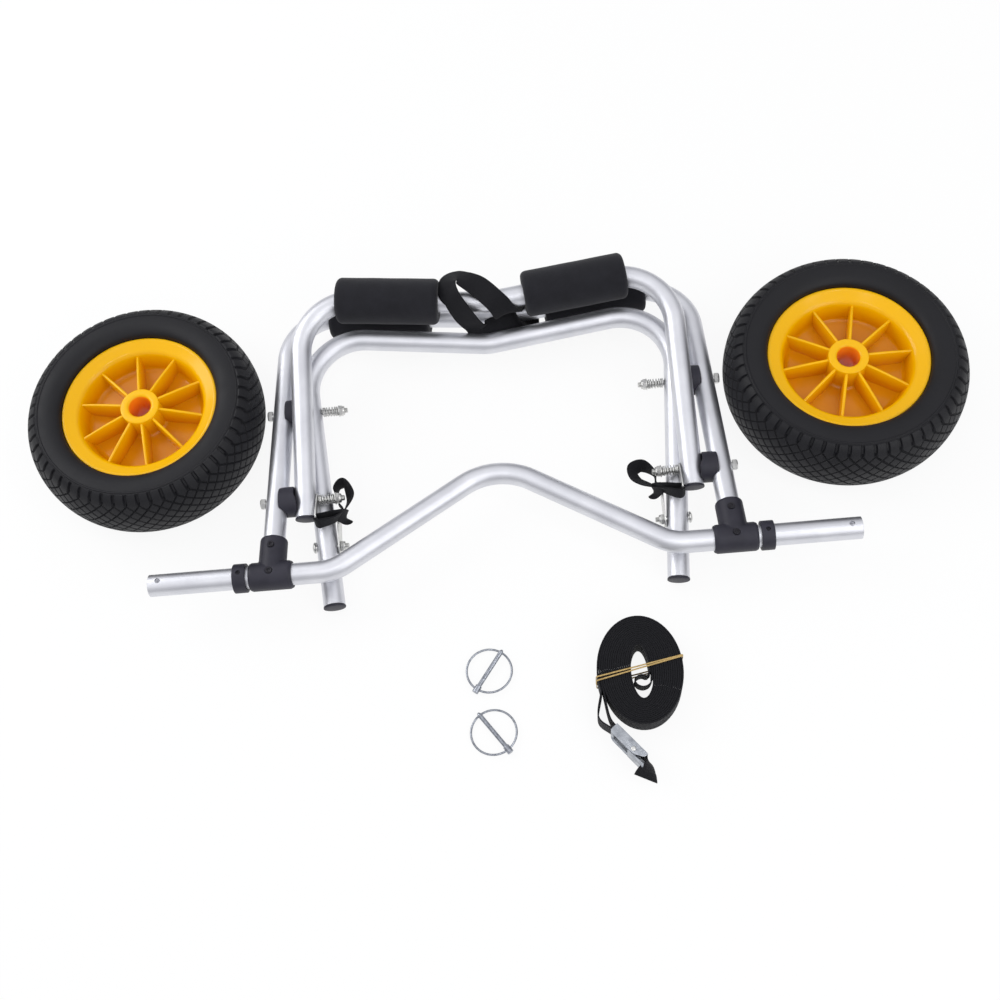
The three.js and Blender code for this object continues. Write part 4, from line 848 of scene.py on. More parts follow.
anchor_run = np.array((0, -math.cos(anchor_tilt), math.sin(anchor_tilt)))
stand_run = np.array((0.0, 1.0, 0.0))
anchor_inner = cradle_half_width - tube_radius - clearance - plate_thickness
stand_slant_radius = tube_radius / math.cos(stand_lean)
stand_plate_outer = stand_leg_x(-stand_bolt_at - stand_eye) - stand_slant_radius - clearance
stand_plate_inner = stand_plate_outer - plate_thickness
stand_head_profile = softened(
    [(0, 0), (0, head_radius), (1.6, head_radius), (stand_head_length, 2.6), (stand_head_length - 1, 1.9),
     (stand_head_length - 1.4, 0)], 0.5
)
for side, sign in signs.items():
    for node, body, place, radius, slot_at, run, y, inner in (
        ("strap_anchor_", "cart", on_main, anchor_eye, anchor_slot_at, anchor_run, lower_pivot, anchor_inner),
        (
            "stand_plate_", "kickstand", on_stand, stand_eye, stand_slot_at, stand_run, -stand_bolt_at,
            stand_plate_inner,
        ),
    ):
        basis = (run, np.cross((1, 0, 0), run), (1, 0, 0))
        middle = (sign * (inner + plate_thickness / 2), y, 0)
        plate = stamped(plate_outlines(radius, slot_at), plate_thickness, 0.22, basis, middle, place)
        show(node + side + "_steel", plate, zinc, body, "zinc", node + side)
    head_x = stand_leg_x(head_radius - stand_bolt_at) + stand_slant_radius + clearance
    nut_x = stand_plate_inner - clearance
    tip = nut_x - stand_nut_length - stand_thread_end
    head = round_about(stand_head_profile, (sign * head_x, -stand_bolt_at, 0), (sign, 0, 0), 36, socketed)
    stem = shank(sign * (head_x + 1), sign, head_x + 1 - tip, head_x + 1 - nut_x - 1, -stand_bolt_at)
    bolt = sealed(skin(head, on_stand), skin(stem, on_stand))
    show(f"stand_bolt_{side}_steel", bolt, zinc, "kickstand", "zinc", "stand_bolt_" + side)
    nut_start = (sign * nut_x, -stand_bolt_at, 0)
    profile = nut_profile(stand_nut_length)
    nut = lathed(profile, nut_start, (-sign, 0, 0), 48, on_stand, hex_nut, closed=True)
    show(f"stand_nut_{side}_steel", nut, zinc, "kickstand", "zinc", "stand_nut_" + side)

# Limit straps: black nylon webbing in a short sewn loop through the slots of an anchor and a stand plate.
# Folded flat, the slack bulges towards the middle of the cart.
limit_width = 15.5
wide_width = 25.0
webbing_thickness = 1.3
pick_spacing, rib_spacing = 0.0016, 0.0021
wrap = plate_thickness / 2 + clearance + webbing_thickness
bar_wrap = plate_edge / 2 + clearance + webbing_thickness
bulge_shares = {
    "left": (
        (1.2, 0.1, -0.15), (1.75, 0.9, -0.6), (2.1, 1.9, -0.7), (1.75, 2.8, -0.5), (1.2, 2.6, -0.9),
        (1.2, 1.75, -1.3),
    ),
    "right": (
        (1.1, 0.25, -0.3), (2.05, 0.8, -0.5), (2.85, 1.35, -0.6), (3.0, 2.1, -0.75), (2.35, 2.45, -1.0),
        (1.55, 1.9, -1.3),
    ),
}
bulge_leans = {"left": (0.1, 0.5, 0.8, 0.35, 0.1, 0.0), "right": (0.2, 0.9, 1.3, 1.2, 0.6, 0.0)}


def through(points, closed, steps):
    """A smooth line through points: on each span a cubic whose slopes at both ends follow from the points
    before and after, with each span timed by the square root of its length."""
    points = np.asarray(points, float)
    if closed:
        known = np.concatenate((points[-1:], points, points[:2]))
    else:
        known = np.concatenate((2 * points[:1] - points[1:2], points, 2 * points[-1:] - points[-2:-1]))
    a, b, c, d = known[:-3], known[1:-2], known[2:-1], known[3:]
    before, own, after = (
        np.sqrt(np.linalg.norm(q - p, axis=1))[:, None] for p, q in ((a, b), (b, c), (c, d))
    )
    own = np.where(own < 1e-4, 1, own)
    before, after = (np.where(span < 1e-4, own, span) for span in (before, after))
    slope_b = ((b - a) / before - (c - a) / (before + own) + (c - b) / own) * own
    slope_c = ((c - b) / own - (d - b) / (own + after) + (d - c) / after) * own
    t = (np.arange(steps) / steps)[None, :, None]
    line = (
        (2 * t ** 3 - 3 * t ** 2 + 1) * b[:, None] + (t ** 3 - 2 * t ** 2 + t) * slope_b[:, None]
        + (3 * t ** 2 - 2 * t ** 3) * c[:, None] + (t ** 3 - t ** 2) * slope_c[:, None]
    ).reshape(-1, points.shape[1])
    return line if closed else np.concatenate((line, points[-1:]))


def webbing_section(width, thickness):
    """A flat band's section: straight faces in two rows of points and rounded edges."""
    aside = np.linspace(-0.5, 0.5, 9) * (width - thickness)
    edge = np.linspace(-math.pi / 2, math.pi / 2, 6)[1:-1]
    half = thickness / 2
    top = np.stack((np.full(9, half), aside), -1)
    top_edge = np.stack((-half * np.sin(edge), (width - thickness) / 2 + half * np.cos(edge)), -1)
    low = np.stack((np.full(9, -half), -aside), -1)
    low_edge = top_edge * (-1, -1)
    return np.concatenate((top, top_edge, low, low_edge))


def webbing_finish(name, dark, light):
    """Woven nylon: ribs along the webbing, crossed by shorter picks that are offset from rib to rib, with a
    soft sheen. Both come from sine waves of the lengths along and across."""
    made, tree, shader = finish_of(name, Sheen_Weight=0.05, Sheen_Roughness=0.4, Specular_IOR_Level=0.15)
    turns = lengthwise(tree, 2 * math.pi / pick_spacing, 2 * math.pi / rib_spacing)
    along, across = add(tree, "SeparateXYZ", {0: turns}).outputs[:2]
    rib = add(tree, "Math", {0: across}, operation="SINE")
    side = add(tree, "Math", {0: rib.outputs[0]}, operation="SIGN")
    offset = add(tree, "Math", {0: side.outputs[0], 1: math.pi / 2, 2: along}, operation="MULTIPLY_ADD")
    pick = add(tree, "Math", {0: offset.outputs[0]}, operation="SINE")
    bulge = add(tree, "Math", {0: rib.outputs[0]}, operation="ABSOLUTE")
    weave = add(tree, "Math", {0: pick.outputs[0], 1: 0.5, 2: bulge.outputs[0]}, operation="MULTIPLY_ADD")
    # The colour follows the weave's height, lighter on the raised threads and darker between them: painted
    # shade between the threads and painted highlight on their crests.
    share = add(tree, "Math", {0: weave.outputs[0], 1: 0.5, 2: 0.2}, operation="MULTIPLY_ADD")
    dress(
        tree, shader,
        ramp(tree, share.outputs[0], (0.1, colour(*dark)), (0.9, colour(*light))),
        ramp(tree, speckle(tree, 900.0), (0.3, 0.62), (0.7, 0.85)),
        weave.outputs[0], 2e-4, 0.6,
    )
    return made


black_webbing = webbing_finish("black_webbing", (15, 15, 18), (32, 32, 36))


def to_floor(points, place):
    """Points of another group, in the floor group's millimetres."""
    turn, at = place
    return np.asarray(points, float) @ turn.T + (at - on_floor[1]) * 1000


def strap_loop(name, points, uprights, width, node, start, end):
    """A closed loop of webbing through points. Its start and end are not used."""
    line = through(points, True, 16)
    upward = through(uprights, True, 16)
    grid = carried(line, upward, webbing_section(width, webbing_thickness), True)
    loop = sealed(skin(grid, on_floor, round_rows=True))
    piece = show(name, loop, black_webbing, None, "webbing", node, sharp=50)
    placed(start, on_floor).tolist()
    placed(end, on_floor).tolist()
    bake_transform(piece)


def bar_middle(slot_at):
    """How far from the eye the middle of the bar beyond the slot lies."""
    return slot_at + (slot_depth + plate_edge) / 2


def beside(bar, up, rows, sign):
    """Points beside a bar: inwards, forwards along its plate and up along the webbing's width."""
    rows = np.asarray(rows, float)
    return bar + rows[:, :1] * (-sign, 0, 0) + rows[:, 1:2] * np.cross(up, (1, 0, 0)) + rows[:, 2:] * up


anchor_up = on_main[0] @ (0, math.sin(anchor_tilt), math.cos(anchor_tilt))
stand_up = on_stand[0] @ (0, 0, 1)
for side, sign in signs.items():
    anchor_at = np.array((0, lower_pivot, 0)) + anchor_run * bar_middle(anchor_slot_at)
    anchor_at[0] = sign * (anchor_inner + plate_thickness / 2)
    anchor_bar = to_floor(anchor_at, on_main)
    stand_x = sign * (stand_plate_inner + plate_thickness / 2)
    stand_bar = to_floor((stand_x, bar_middle(stand_slot_at) - stand_bolt_at, 0), on_stand)
    out = [(-wrap, 0, 0), (0, -bar_wrap, 0), (2 * wrap, -bar_wrap, 0)]
    beyond = bar_wrap + webbing_thickness
    turn_back = [
        (2 * wrap, beyond, 0), (0, bar_wrap, 0), (-wrap, 0, 0), (0, -bar_wrap, 0), (3 * wrap, -beyond, 0),
    ]
    home = [(1.4 * limit_width, beyond + webbing_thickness, 0), (3 * wrap, beyond, 0), (0, bar_wrap, 0)]
    bulge = np.array(bulge_shares[side]) * limit_width
    outward = unit((bulge - bulge.mean(0)) * (1, 1, 0))
    leans = outward * np.reshape(bulge_leans[side], (-1, 1))
    leaning = unit(beside(0, floor_up, leans, sign) + floor_up)
    points = np.concatenate((
        beside(anchor_bar, anchor_up, out, sign), beside(anchor_bar, floor_up, bulge, sign),
        beside(stand_bar, stand_up, turn_back, sign), beside(anchor_bar, anchor_up, home, sign),
    ))
    before, after = [anchor_up] * len(out), [anchor_up] * len(home)
    uprights = before + list(leaning) + [stand_up] * len(turn_back) + after
    strap_loop(
        f"limit_strap_{side}_webbing", points, uprights, limit_width, "limit_strap_" + side,
        anchor_bar, stand_bar,
    )

# Centre strap: a slack loop of wide black webbing round the middles of the two padded bars. Each row holds
# the place across in widths, up from bar to bar and to the front in tube radii, then the width's direction.
centre_shares = np.array((
    (-1.5, 1.34, -0.8, 0.79, -0.31, 0.53),
    (-1.28, 1.4, 0.4, 0.77, -0.14, 0.62),
    (-0.8, 1.05, 1.76, 0.93, -0.12, 0.34),
    (-0.53, 0.79, 2.08, 0.58, -0.09, 0.81),
    (-0.23, 0.62, 2.34, 0.08, 0.36, 0.93),
    (0.43, 0.54, 2.01, -0.17, 0.83, 0.53),
    (1.28, 0.44, 1.67, -0.42, 0.76, 0.49),
    (1.72, 0.0, 1.4, -0.85, 0.4, 0.2),
    (1.76, -0.28, 0.2, -1, 0, 0),
    (1.74, -0.15, -1.1, -1, 0, 0),
    (1.6, 0.15, -1.1, -1, 0, 0),
    (1.4, 0.38, -0.35, -1, 0, 0),
    (1.2, 0.6, 0.4, -1, 0, 0),
    (1.05, 0.8, 1.15, -1, -0.1, 0),
    (0.85, 1.02, 1.4, -0.9, -0.35, -0.1),
    (0.65, 1.22, 0.95, -0.8, -0.6, -0.05),
    (0.43, 1.31, 0.38, -0.72, -0.69, 0.0),
    (-0.2, 1.26, -1.23, -0.67, -0.74, 0.02),
    (-0.73, 1.24, -1.92, -0.48, -0.83, 0.3),
    (-1.01, 1.24, -2.18, -0.26, -0.82, 0.5),
    (-1.26, 1.26, -2.05, 0.17, -0.82, 0.55),
    (-1.44, 1.3, -1.62, 0.57, -0.64, 0.52),
))
centre_x = centre_shares[:, 0] * wide_width


def bar_at(x, corner_x, corner, dip, place):
    """Points on the straight part of a padded bar, in the floor group's millimetres."""
    y = corner - (corner_x - np.abs(x)) * math.tan(math.radians(dip))
    return to_floor(np.stack((x, y, np.zeros_like(x)), -1), place)


main_bar = bar_at(centre_x, leg_x(main_bar_at), main_bar_at, main_dip, on_main)
cradle_bar = bar_at(centre_x, cradle_half_width, cradle_bar_at, cradle_dip, on_cradle)
rise = cradle_bar - main_bar
forwards = unit(np.stack((0 * centre_x, -rise[:, 2], rise[:, 1]), -1))
centre_points = main_bar + rise * centre_shares[:, 1:2] + forwards * centre_shares[:, 2:3] * tube_radius
strap_loop(
    "centre_strap_webbing", centre_points, centre_shares[:, 3:], wide_width, "centre_strap",
    main_bar.mean(0), cradle_bar.mean(0),
)

# Tyres: solid black rubber, moulded with diamond blocks round the tread, lugs on the shoulders at the same
# spacing, and a smooth sidewall with one raised line. They lie flat on the floor.
tyre_half = 41.0
wheel_height = tyre_half * 0.001
wheel_x = 0.368
tread_repeats = 56
steps_in_repeat = 12
tread_rows = 5
groove_depth = 2.2
lug_depth = 2.2


def about_z(angle, at):
    """The place of a group of pieces: a turn about Z, then a move in metres."""
    c, s = math.cos(angle), math.sin(angle)
    return np.array(((c, -s, 0), (s, c, 0), (0, 0, 1))), np.array(at)


wheel_places = {
    "left": about_z(0, (-wheel_x, 0.136891, wheel_height)),
    "right": about_z(0, (wheel_x, 0.122691, wheel_height)),
}
tyre_rubber, tree, shader = finish_of("tyre_rubber", Specular_IOR_Level=0.28)
smudged = speckle(tree, 35.0, 6.0, 0.6)
dress(
    tree, shader,
    ramp(tree, smudged, (0.3, colour(18, 18, 22)), (0.75, colour(27, 27, 31))),
    ramp(tree, smudged, (0.3, 0.45), (0.75, 0.66)),
    speckle(tree, 1500.0, 3.0), 8e-5, 0.8,
)


def spun(radius, level, steps):
    """Points round Z in equal steps, at the radius and the level of each row."""
    angle = np.linspace(0, 2 * math.pi, steps, endpoint=False)
    return np.stack((radius * np.cos(angle), radius * np.sin(angle), level + 0 * angle), -1)


def tyre():
    """A tyre round Z. A profile goes from the bead over the sidewall, shoulder and tread to the other bead,
    and every point of it is sunk below the profile where a groove runs: in the tread along two sets of
    slanting lines that cross as diamonds, and on the shoulder along short lines between the lugs."""
    tread_half = [(125.0, 0.0), (124.6, 8.0), (123.2, 16.5), (120.6, 24.5), (117.2, 31.6)]
    curve = through(tread_half, False, 40)
    walked_so_far = np.concatenate(((0,), np.cumsum(np.linalg.norm(np.diff(curve, axis=0), axis=1))))
    steps = tread_rows * steps_in_repeat // 2
    spots = np.linspace(0, walked_so_far[-1], steps + 1)
    tread = np.stack([np.interp(spots, walked_so_far, curve[:, k]) for k in (0, 1)], -1)
    lug = [(115.4, 34.4), (113.4, 36.8), (111.6, 38.5), (109.8, 39.8), (108.4, 40.6)]
    wall = [
        (107.2, 40.2), (106.6, 40.2), (105.8, tyre_half), (104.8, tyre_half), (104.0, 40.3), (100.0, 40.6),
        (95.0, 40.5), (90.0, 39.6), (86.5, 38.0), (84.2, 36.2), (82.9, 34.4), (82.4, 32.5), (82.35, 30.0),
        (82.3, 27.0), (76.0, 23.4), (70.4, 20.0), (70.3, 10.0),
    ]
    upper = np.concatenate((tread, lug, wall))
    profile = np.concatenate((upper[::-1] * (1, -1), upper[1:], [(70.3, 0.0)]))
    row = np.arange(len(profile)) - (len(upper) - 1)
    turns = tread_repeats * steps_in_repeat
    a = np.arange(turns)[None] % steps_in_repeat
    b = row[:, None]
    on_line = ((a + b) % steps_in_repeat == 0) | ((a - b) % steps_in_repeat == 0)
    in_tread = np.abs(b) <= steps
    on_shoulder = (np.abs(b) > steps) & (np.abs(b) <= steps + len(lug))
    between_lugs = np.abs(a - steps_in_repeat // 2) <= 1
    sunk = groove_depth * (on_line & in_tread) + lug_depth * (between_lugs & on_shoulder)
    tangent = np.gradient(profile, axis=0)
    outward = unit(np.stack((tangent[:, 1], -tangent[:, 0]), -1))
    radius = profile[:, :1] - sunk * outward[:, :1]
    level = profile[:, 1:] - sunk * outward[:, 1:]
    return spun(radius, level, turns)


tyre_grid = tyre()
for side, place in wheel_places.items():
    mesh = sealed(skin(tyre_grid, place, round_rows=True))
    show(f"tyre_{side}_rubber", mesh, tyre_rubber, "wheel_" + side, "tyre", "tyre_" + side, sharp=32)

# Rims: one glossy yellow moulding each, a dished bowl on both faces with a bored hub and ten tall tapered
# ribs from hub to bowl.
rim_half = 31.0
hub_radius = 21.0
hub_bore = 11.5
bore_half_length = 0.0285
shade_depth = 0.03
bowl_steps = 160
rib_count = 10
rib_start, rib_end = hub_radius - 2, 66.8
rib_top, rib_fall = 28.0, 6.2
rib_phase = {"left": math.radians(25.3), "right": math.radians(4.1)}
lip_half = softened(
    [(70.0, 0.0), (70.0, 20.0), (82.0, 27.0), (82.0, rim_half), (79.0, rim_half), (75.5, 28.8)], 1.0
)
dish_rows = np.array((
    (75.5, 28.8, 3.0), (66.6, 24.6, 6.0), (61.0, 5.0, 2.0), (58.0, 3.0, 2.0), (24.0, 3.0, 2.0),
    (hub_radius + 0.2, 5.0, 2.0), (hub_radius - 0.5, 30.0, 1.6), (13.4, 30.0, 1.6), (hub_bore, 28.2, 1.6),
    (hub_bore, 0.0, 1.0),
))
dish_half = softened(dish_rows[:, :2], dish_rows[:, 2], steps=6)
bowl_half = np.concatenate((lip_half, dish_half[1:]))
bowl_profile = np.concatenate((bowl_half, bowl_half[-2:0:-1] * (1, -1)))
bore_middle = float(np.linalg.norm(np.diff(bowl_half, axis=0), axis=1).sum()) * 0.001
yellow, tree, shader = finish_of("yellow_moulding", Specular_IOR_Level=0.3)
rippled = speckle(tree, 120.0, 1.0)
# The yellow darkens from the bowl's faces towards its web, deep in the bowl and at the ribs' roots: painted
# shade in the bowl's hollow, under a random mottle that is the plastic's own.
height = add(tree, "SeparateXYZ", {0: add(tree, "TexCoord").outputs["Object"]}).outputs["Z"]
level = add(tree, "Math", {0: height, 1: wheel_height}, operation="SUBTRACT")
depth = add(tree, "Math", {0: level.outputs[0]}, operation="ABSOLUTE")
share = add(tree, "Math", {0: depth.outputs[0], 1: 1 / shade_depth, 2: -0.1}, operation="MULTIPLY_ADD")
mottle_and_painted_shade = {0: speckle(tree, 28.0, 3.0), 1: 0.2, 2: share.outputs[0]}
mottled_painted_shade = add(tree, "Math", mottle_and_painted_shade, operation="MULTIPLY_ADD")
golden = ramp(tree, mottled_painted_shade.outputs[0], (0.1, colour(222, 148, 0)), (0.9, colour(243, 184, 0)))
# The bore is painted a brighter orange than the rest of the moulding: painted light, standing in for the
# light that shines through the translucent plastic there.
walked_across = add(tree, "SeparateXYZ", {0: add(tree, "UVMap", uv_map="lengths").outputs[0]}).outputs["X"]
in_bore = add(tree, "Math", {0: walked_across, 1: bore_middle, 2: bore_half_length}, operation="COMPARE")
tone = add(tree, "Mix", {"Factor": in_bore.outputs[0]}, data_type="RGBA")
tree.links.new(golden, tone.inputs["A"])
tone.inputs["B"].default_value = colour(255, 150, 25)
dress(
    tree, shader,
    tone.outputs["Result"],
    ramp(tree, rippled, (0.3, 0.16), (0.7, 0.22)),
    rippled, 2e-5, 0.4,
)


def rib(angle):
    """A rib from hub to bowl along X, turned to its angle. Its section is a tall narrow loop, thickest at the
    web and thinner towards its rounded top, and its height falls from the hub to the bowl."""
    share = np.linspace(0, 1, 14)
    reach = rib_start + (rib_end - rib_start) * share
    top = rib_top - rib_fall * share ** 1.3
    turn = np.linspace(-math.pi / 2, math.pi / 2, 7)
    crown = np.stack((-1.5 * np.sin(turn), 1.2 * np.cos(turn)), -1)
    loop_aside = np.concatenate((crown[:, 0], (-2.4,), -crown[:, 0], (2.4,)))
    loop_level = np.concatenate((crown[:, 1] - 1.2, (0,), 1.2 - crown[:, 1], (0,)))
    which = np.concatenate((np.ones(7), (0,), -np.ones(7), (0,)))
    level = which * top[:, None] + loop_level
    grid = np.stack((reach[:, None] + 0 * level, loop_aside + 0 * level, level), -1)
    return capped(grid) @ about_z(angle, 0)[0].T


bowl_grid = spun(bowl_profile[:, :1], bowl_profile[:, 1:], bowl_steps)
for side, place in wheel_places.items():
    angles = rib_phase[side] + 2 * math.pi * np.arange(rib_count) / rib_count
    rim = sealed(skin(bowl_grid, place, round_rows=True), *(skin(rib(angle), place) for angle in angles))
    show(f"rim_{side}_moulding", rim, yellow, "wheel_" + side, "rim", "rim_" + side)

# Ring pins: a ring of bright wire through the head of a short zinc-plated pin. Off the axle, each lies on the
# floor with the pin's point over the far side of its ring.
ring_radius = 22.35
ring_wire = 1.1
ring_steps = 120
pin_radius = 2.25
pin_eye = 1.6
pin_head_lift = 3.5
pin_reach = 47.0
wire_zinc, tree, shader = finish_of("wire_zinc", metallic=1.0)
streaky = speckle(tree, 300.0, 4.0)
dress(
    tree, shader,
    ramp(tree, streaky, (0.3, colour(132, 136, 144)), (0.7, colour(176, 180, 188))),
    ramp(tree, streaky, (0.3, 0.25), (0.7, 0.4)),
    streaky, 2e-5,
)
ring_tilt = math.asin((pin_head_lift - ring_wire) / (2 * ring_radius))
pin_tilt = math.asin((2 * ring_wire + clearance + pin_radius - pin_head_lift) / (2 * ring_radius))
pin_profile = softened(
    [(-4, 0), (-4, 3.2), (4, 3.2), (4, pin_radius), (pin_reach - 2.4, pin_radius), (pin_reach - 0.4, 1.0),
     (pin_reach, 0)], 0.5
)
for number, at, heading in (
    ("1", (-0.035040, -0.177106, 0.0035), 54), ("2", (-0.007872, -0.239239, 0.0035), 126)
):
    spot = about_z(math.radians(heading), at)
    angle = np.linspace(0, 2 * math.pi, ring_steps, endpoint=False)
    reach = ring_radius * (1 - np.cos(angle))
    fall = -reach * math.sin(ring_tilt)
    line = np.stack((reach * math.cos(ring_tilt), ring_radius * np.sin(angle), fall), -1)
    wire = carried(line, floor_up, ring_of(ring_wire, 16), True)
    ring = sealed(skin(wire, spot, round_rows=True))
    show(f"ring_{number}_wire", ring, wire_zinc, "cart", "zinc", "ring_" + number)
    run = (math.cos(pin_tilt), 0, math.sin(pin_tilt))
    pin = lathed(pin_profile, (0, 0, 0), run, 32, spot)
    pin = carved(pin, [rod(pin_eye, (0, -9, 0), (0, 9, 0), spot)])
    show(f"pin_{number}_steel", pin, wire_zinc, "ring_pin_" + number, "zinc", "pin_" + number)

# Tie-down strap: 25 mm black webbing, doubled and wound from its middle into a flat roll that stands on
# edge, its free end through the cam buckle and its other end sewn to the buckle's bar. The roll's layers
# are pressed together, so the webbing there fills most of the space from layer to layer.
coil_middle = np.array((126.0, -120.0))
coil_hole = np.array((8.5, 26.0))
coil_pitch = np.array((2.09, 1.83))
coil_turns = 7.55
coil_steps = 60
coil_base = 1.5
coil_level = coil_base + wide_width / 2
layer_fill = 0.94
fold_shares = np.array((
    (1.09, -0.35), (0.71, -0.52), (0.09, -0.58), (-0.54, -0.49), (-0.78, -0.32), (-0.49, -0.18),
    (0.05, -0.13), (0.56, -0.18),
))
fold_lean = math.radians(8)
tail_twist = math.radians(65)
twist_length = 20.0
hem_length, hem_rise = 9.0, 0.9
eased_over = 15
buckle_place = about_z(math.radians(-50.4), (0.107, axle_y - 0.190, 0))
buckle_length = 41.0
buckle_depth = 10.5
buckle_wall = 1.2


def strand(start):
    """One strand of the roll: an oval whose half sizes grow by the pitch for each layer, two layers a turn.
    Each row is a point and the space from layer to layer there, square to the oval."""
    turns = np.arange(round(coil_turns * coil_steps) + 1) / coil_steps
    around = np.stack((np.cos(2 * math.pi * turns), np.sin(2 * math.pi * turns)), -1)
    reach = coil_hole + coil_pitch * (start + 2 * turns[:, None])
    square = unit(around / reach)
    space = (coil_pitch * around * square).sum(1)
    flat = coil_middle + reach * around
    return np.stack((flat[:, 0], flat[:, 1], np.full(len(flat), coil_level), space), -1)


def by_buckle(along, aside):
    """A point beside the buckle's middle, at the roll's middle height, in the floor group's millimetres."""
    return to_floor((along, aside, coil_level), buckle_place)


inner_strand, inner_space = np.split(strand(0), [3], 1)
outer_strand, outer_space = np.split(strand(1), [3], 1)
fold_points = coil_middle + coil_hole * fold_shares
fold_points = np.concatenate((fold_points, np.full((len(fold_points), 1), coil_level)), 1)
fold_points = np.concatenate((
    outer_strand[:1] + (-0.4, -3.2, 0), fold_points, inner_strand[:1] + (-0.4, -1.6, 0)
))
half_length = buckle_length / 2
half_depth = buckle_depth / 2
webbing_aside = half_depth - buckle_wall - clearance - webbing_thickness / 2
tail_route = [
    inner_strand[-1],
    by_buckle(-half_length - 8, webbing_aside + webbing_thickness),
    by_buckle(-half_length, webbing_aside),
    by_buckle(0, webbing_aside),
    by_buckle(half_length, webbing_aside),
    by_buckle(half_length + 16 / 3, webbing_aside - webbing_thickness),
    by_buckle(half_length + 13, webbing_aside - 14),
]
sewn_route = [
    outer_strand[-1],
    by_buckle(-half_length - 16, -webbing_aside),
    by_buckle(-half_length - clearance, -webbing_aside / 2),
]
route_in = through(sewn_route, False, 12)[1:][::-1]
route_out = through(tail_route, False, 10)[1:]
fold_route = through(fold_points, False, 8)
tie_line = np.concatenate((route_in, outer_strand[::-1], fold_route, inner_strand, route_out))
tie_steps = np.linalg.norm(np.diff(tie_line, axis=0), axis=1)
left_to_go = np.concatenate((np.cumsum(tie_steps[::-1])[::-1], (0,)))


def eased(*runs):
    """Rows for the stretches of the strap one after another, each row the mean of the points about it."""
    rows = np.concatenate(runs)
    wide = np.pad(rows, ((eased_over // 2,) * 2, (0, 0)), mode="edge")
    even = np.full(eased_over, 1 / eased_over)
    return np.stack([np.convolve(column, even, "valid") for column in wide.T], -1)


as_woven = [np.full((len(route), 1), 1.0) for route in (route_in, fold_route, route_out)]
filled = [space * layer_fill / webbing_thickness for space in (outer_space[::-1], inner_space)]
stoutness = eased(as_woven[0], filled[0], as_woven[1], filled[1], as_woven[2])[:, 0]
hem = stoutness + hem_rise * (left_to_go < hem_length) * np.clip(left_to_go + 0.4, 0, 1)
leaning = (0, -math.sin(fold_lean), math.cos(fold_lean))
tie_up = eased(
    np.repeat(floor_up[None], len(route_in) + len(outer_strand), 0), np.repeat([leaning], len(fold_route), 0),
    np.repeat(floor_up[None], len(inner_strand) + len(route_out), 0),
)
twist = tail_twist * np.clip(1 - left_to_go / twist_length, 0, 1)[:, None]
tie_side = unit(np.cross(np.gradient(tie_line, axis=0), floor_up))
tie_up = tie_up * np.cos(twist) + tie_side * np.sin(twist)
flat_section = webbing_section(wide_width, webbing_thickness)
tie_grid = carried(tie_line, tie_up, flat_section[None] * np.stack((hem, np.ones_like(hem)), -1)[:, None])
tie_down = show(
    "tie_down_webbing_woven", sealed(skin(capped(tie_grid), on_floor)), black_webbing, "cart", "webbing",
    "tie_down_webbing", sharp=50,
)

# Cam buckle: a cast grey metal body with two shaped side plates, a base and a bar. A cast lever, whose cam
# presses the webbing on the base, turns on a steel rivet through both plates.
cam_radius = 3.6
rivet_radius = 1.6
rivet_hole = 1.8
cast, tree, shader = finish_of("cast_metal", metallic=0.9)
grained = speckle(tree, 1200.0, 4.0)
dress(
    tree, shader,
    ramp(tree, speckle(tree, 120.0, 4.0), (0.3, colour(145, 149, 156)), (0.7, colour(188, 192, 198))),
    ramp(tree, grained, (0.3, 0.35), (0.7, 0.55)),
    grained, 5e-5,
)
buckle_low = coil_base - clearance - buckle_wall
buckle_high = coil_base + wide_width + clearance + buckle_wall
side_outline = softened(
    [(-half_length, -half_depth * 0.7), (-half_length + 4, -half_depth), (0, -half_depth),
     (half_length * 0.55, -half_depth * 0.9), (half_length, half_depth * 0.1), (half_length, half_depth),
     (-half_length, half_depth)], 2.0, True
)
rivet_at = np.array((7.5, -half_depth + 3.9))
rivet_ring = ring_of(rivet_hole, 24) + rivet_at


def level_plate(outlines, thickness, edge, level):
    """A flat part of the buckle that lies level, with its middle plane at a height above the floor."""
    return stamped(outlines, thickness, edge, np.eye(3), (0, 0, level), buckle_place)


def bar_block(low, high, edge):
    """A block between two corners: a rectangle with eased corners, as thick as the block is high."""
    (x0, y0, z0), (x1, y1, z1) = low, high
    outline = softened([(x0, y0), (x1, y0), (x1, y1), (x0, y1)], edge, True)
    return level_plate([outline], z1 - z0, min(edge, 0.3), (z0 + z1) / 2)


plates = [
    level_plate([side_outline, rivet_ring], buckle_wall, 0.25, level)
    for level in (buckle_low + buckle_wall / 2, buckle_high - buckle_wall / 2)
]
block_low, block_high = buckle_low + 0.2, buckle_high - 0.2
base_wall = bar_block(
    (-half_length, half_depth - buckle_wall, block_low), (half_length, half_depth, block_high), 0.5
)
sewn_bar = bar_block(
    (-half_length, -half_depth * 0.7, block_low), (-half_length + 4, -webbing_aside / 2, block_high), 0.9
)
show("buckle_body_casting", sealed(*plates, base_wall, sewn_bar), cast, "cart", "zinc", "buckle_body")
cam_angle = np.linspace(-math.pi / 2, math.pi, 24)
cam = rivet_at + cam_radius * np.stack((np.cos(cam_angle), np.sin(cam_angle)), -1)
thumb = [(-cam_radius, -2.0), (-cam_radius, 1.0), (15.0, 1.0), (16.5, 3.0), (18.0, 1.5), (16.0, -1.0)]
thumb = rivet_at + (0, -cam_radius) + np.array(thumb) * (1, -1)
lever_outline = np.concatenate((cam, softened(thumb, 0.8, True)[2:-2]))
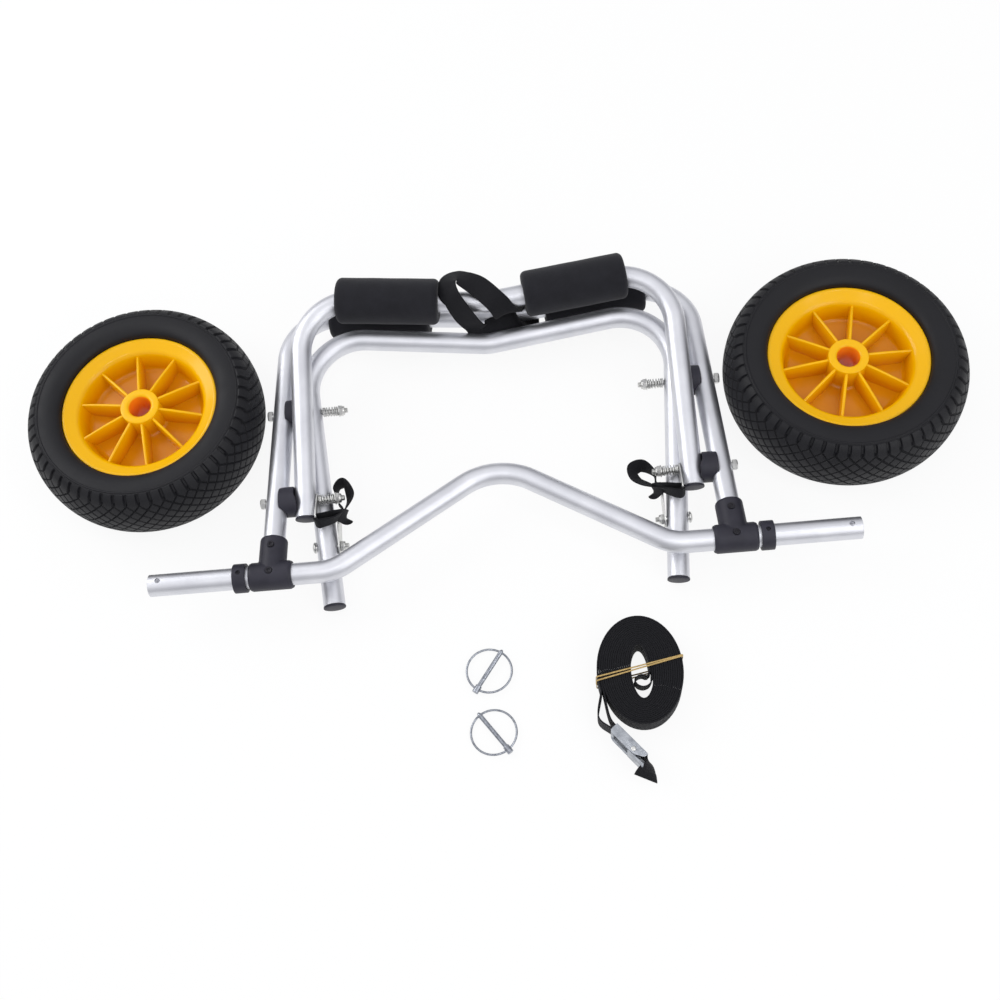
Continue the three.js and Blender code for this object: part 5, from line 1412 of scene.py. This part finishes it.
lever = level_plate([lever_outline, rivet_ring], wide_width, 0.3, coil_level)
show("buckle_lever_casting", lever, cast, "cam_lever", "zinc", "buckle_lever")
rivet_neck = buckle_high + 0.1 - buckle_low
rivet_profile = softened(
    [(0, 0), (0, rivet_radius), (rivet_neck, rivet_radius), (rivet_neck, 2.6), (rivet_neck + 0.6, 2.2),
     (rivet_neck + 0.9, 0)], 0.4
)
rivet = lathed(rivet_profile, (*rivet_at, buckle_low), (0, 0, 1), 32, buckle_place)
show("buckle_rivet_steel", rivet, zinc, "cart", "zinc", "buckle_rivet")

# Rubber band: a thin band of tan rubber, twice round the roll, the two strands apart on the left and together
# on the right. It holds the layers of the roll.
band_half_thickness, band_half_width = 0.45, 0.75
band_slack = 1.1
band_rubber, tree, shader = finish_of("tan_rubber", Specular_IOR_Level=0.4)
chalky = speckle(tree, 400.0, 4.0)
dress(
    tree, shader,
    ramp(tree, chalky, (0.3, colour(168, 138, 82)), (0.7, colour(196, 168, 108))),
    ramp(tree, chalky, (0.3, 0.5), (0.7, 0.7)),
    chalky, 5e-5,
)
band_left, band_right = (
    coil_hole[0] + coil_pitch[0] * (1 + 2 * turns) + webbing_thickness + band_slack
    for turns in (coil_turns, math.floor(coil_turns))
)
band_top = coil_base + wide_width + clearance + band_half_thickness


def band(turn, shift):
    """One strand round the roll, crosswise: a rectangle with eased corners, standing across the roll."""
    turn = math.radians(turn)
    run = np.array((math.cos(turn), math.sin(turn)))
    corners = [
        (-band_left, band_half_thickness), (band_right, band_half_thickness), (band_right, band_top),
        (-band_left, band_top),
    ]
    flat = softened(corners, 2.5, True, 6)
    line = np.concatenate((coil_middle + (0, shift) + flat[:, :1] * run, flat[:, 1:]), 1)
    upright = np.array((-run[1], run[0], 0))
    oval = ring_of(1, 12) * (band_half_thickness, band_half_width)
    return skin(carried(line, upright, oval, True), on_floor, round_rows=True)


strands = sealed(band(10.3, 3.9), band(12.0, 1.6))
show("rubber_band_strands", strands, band_rubber, "cart", "band", "rubber_band")
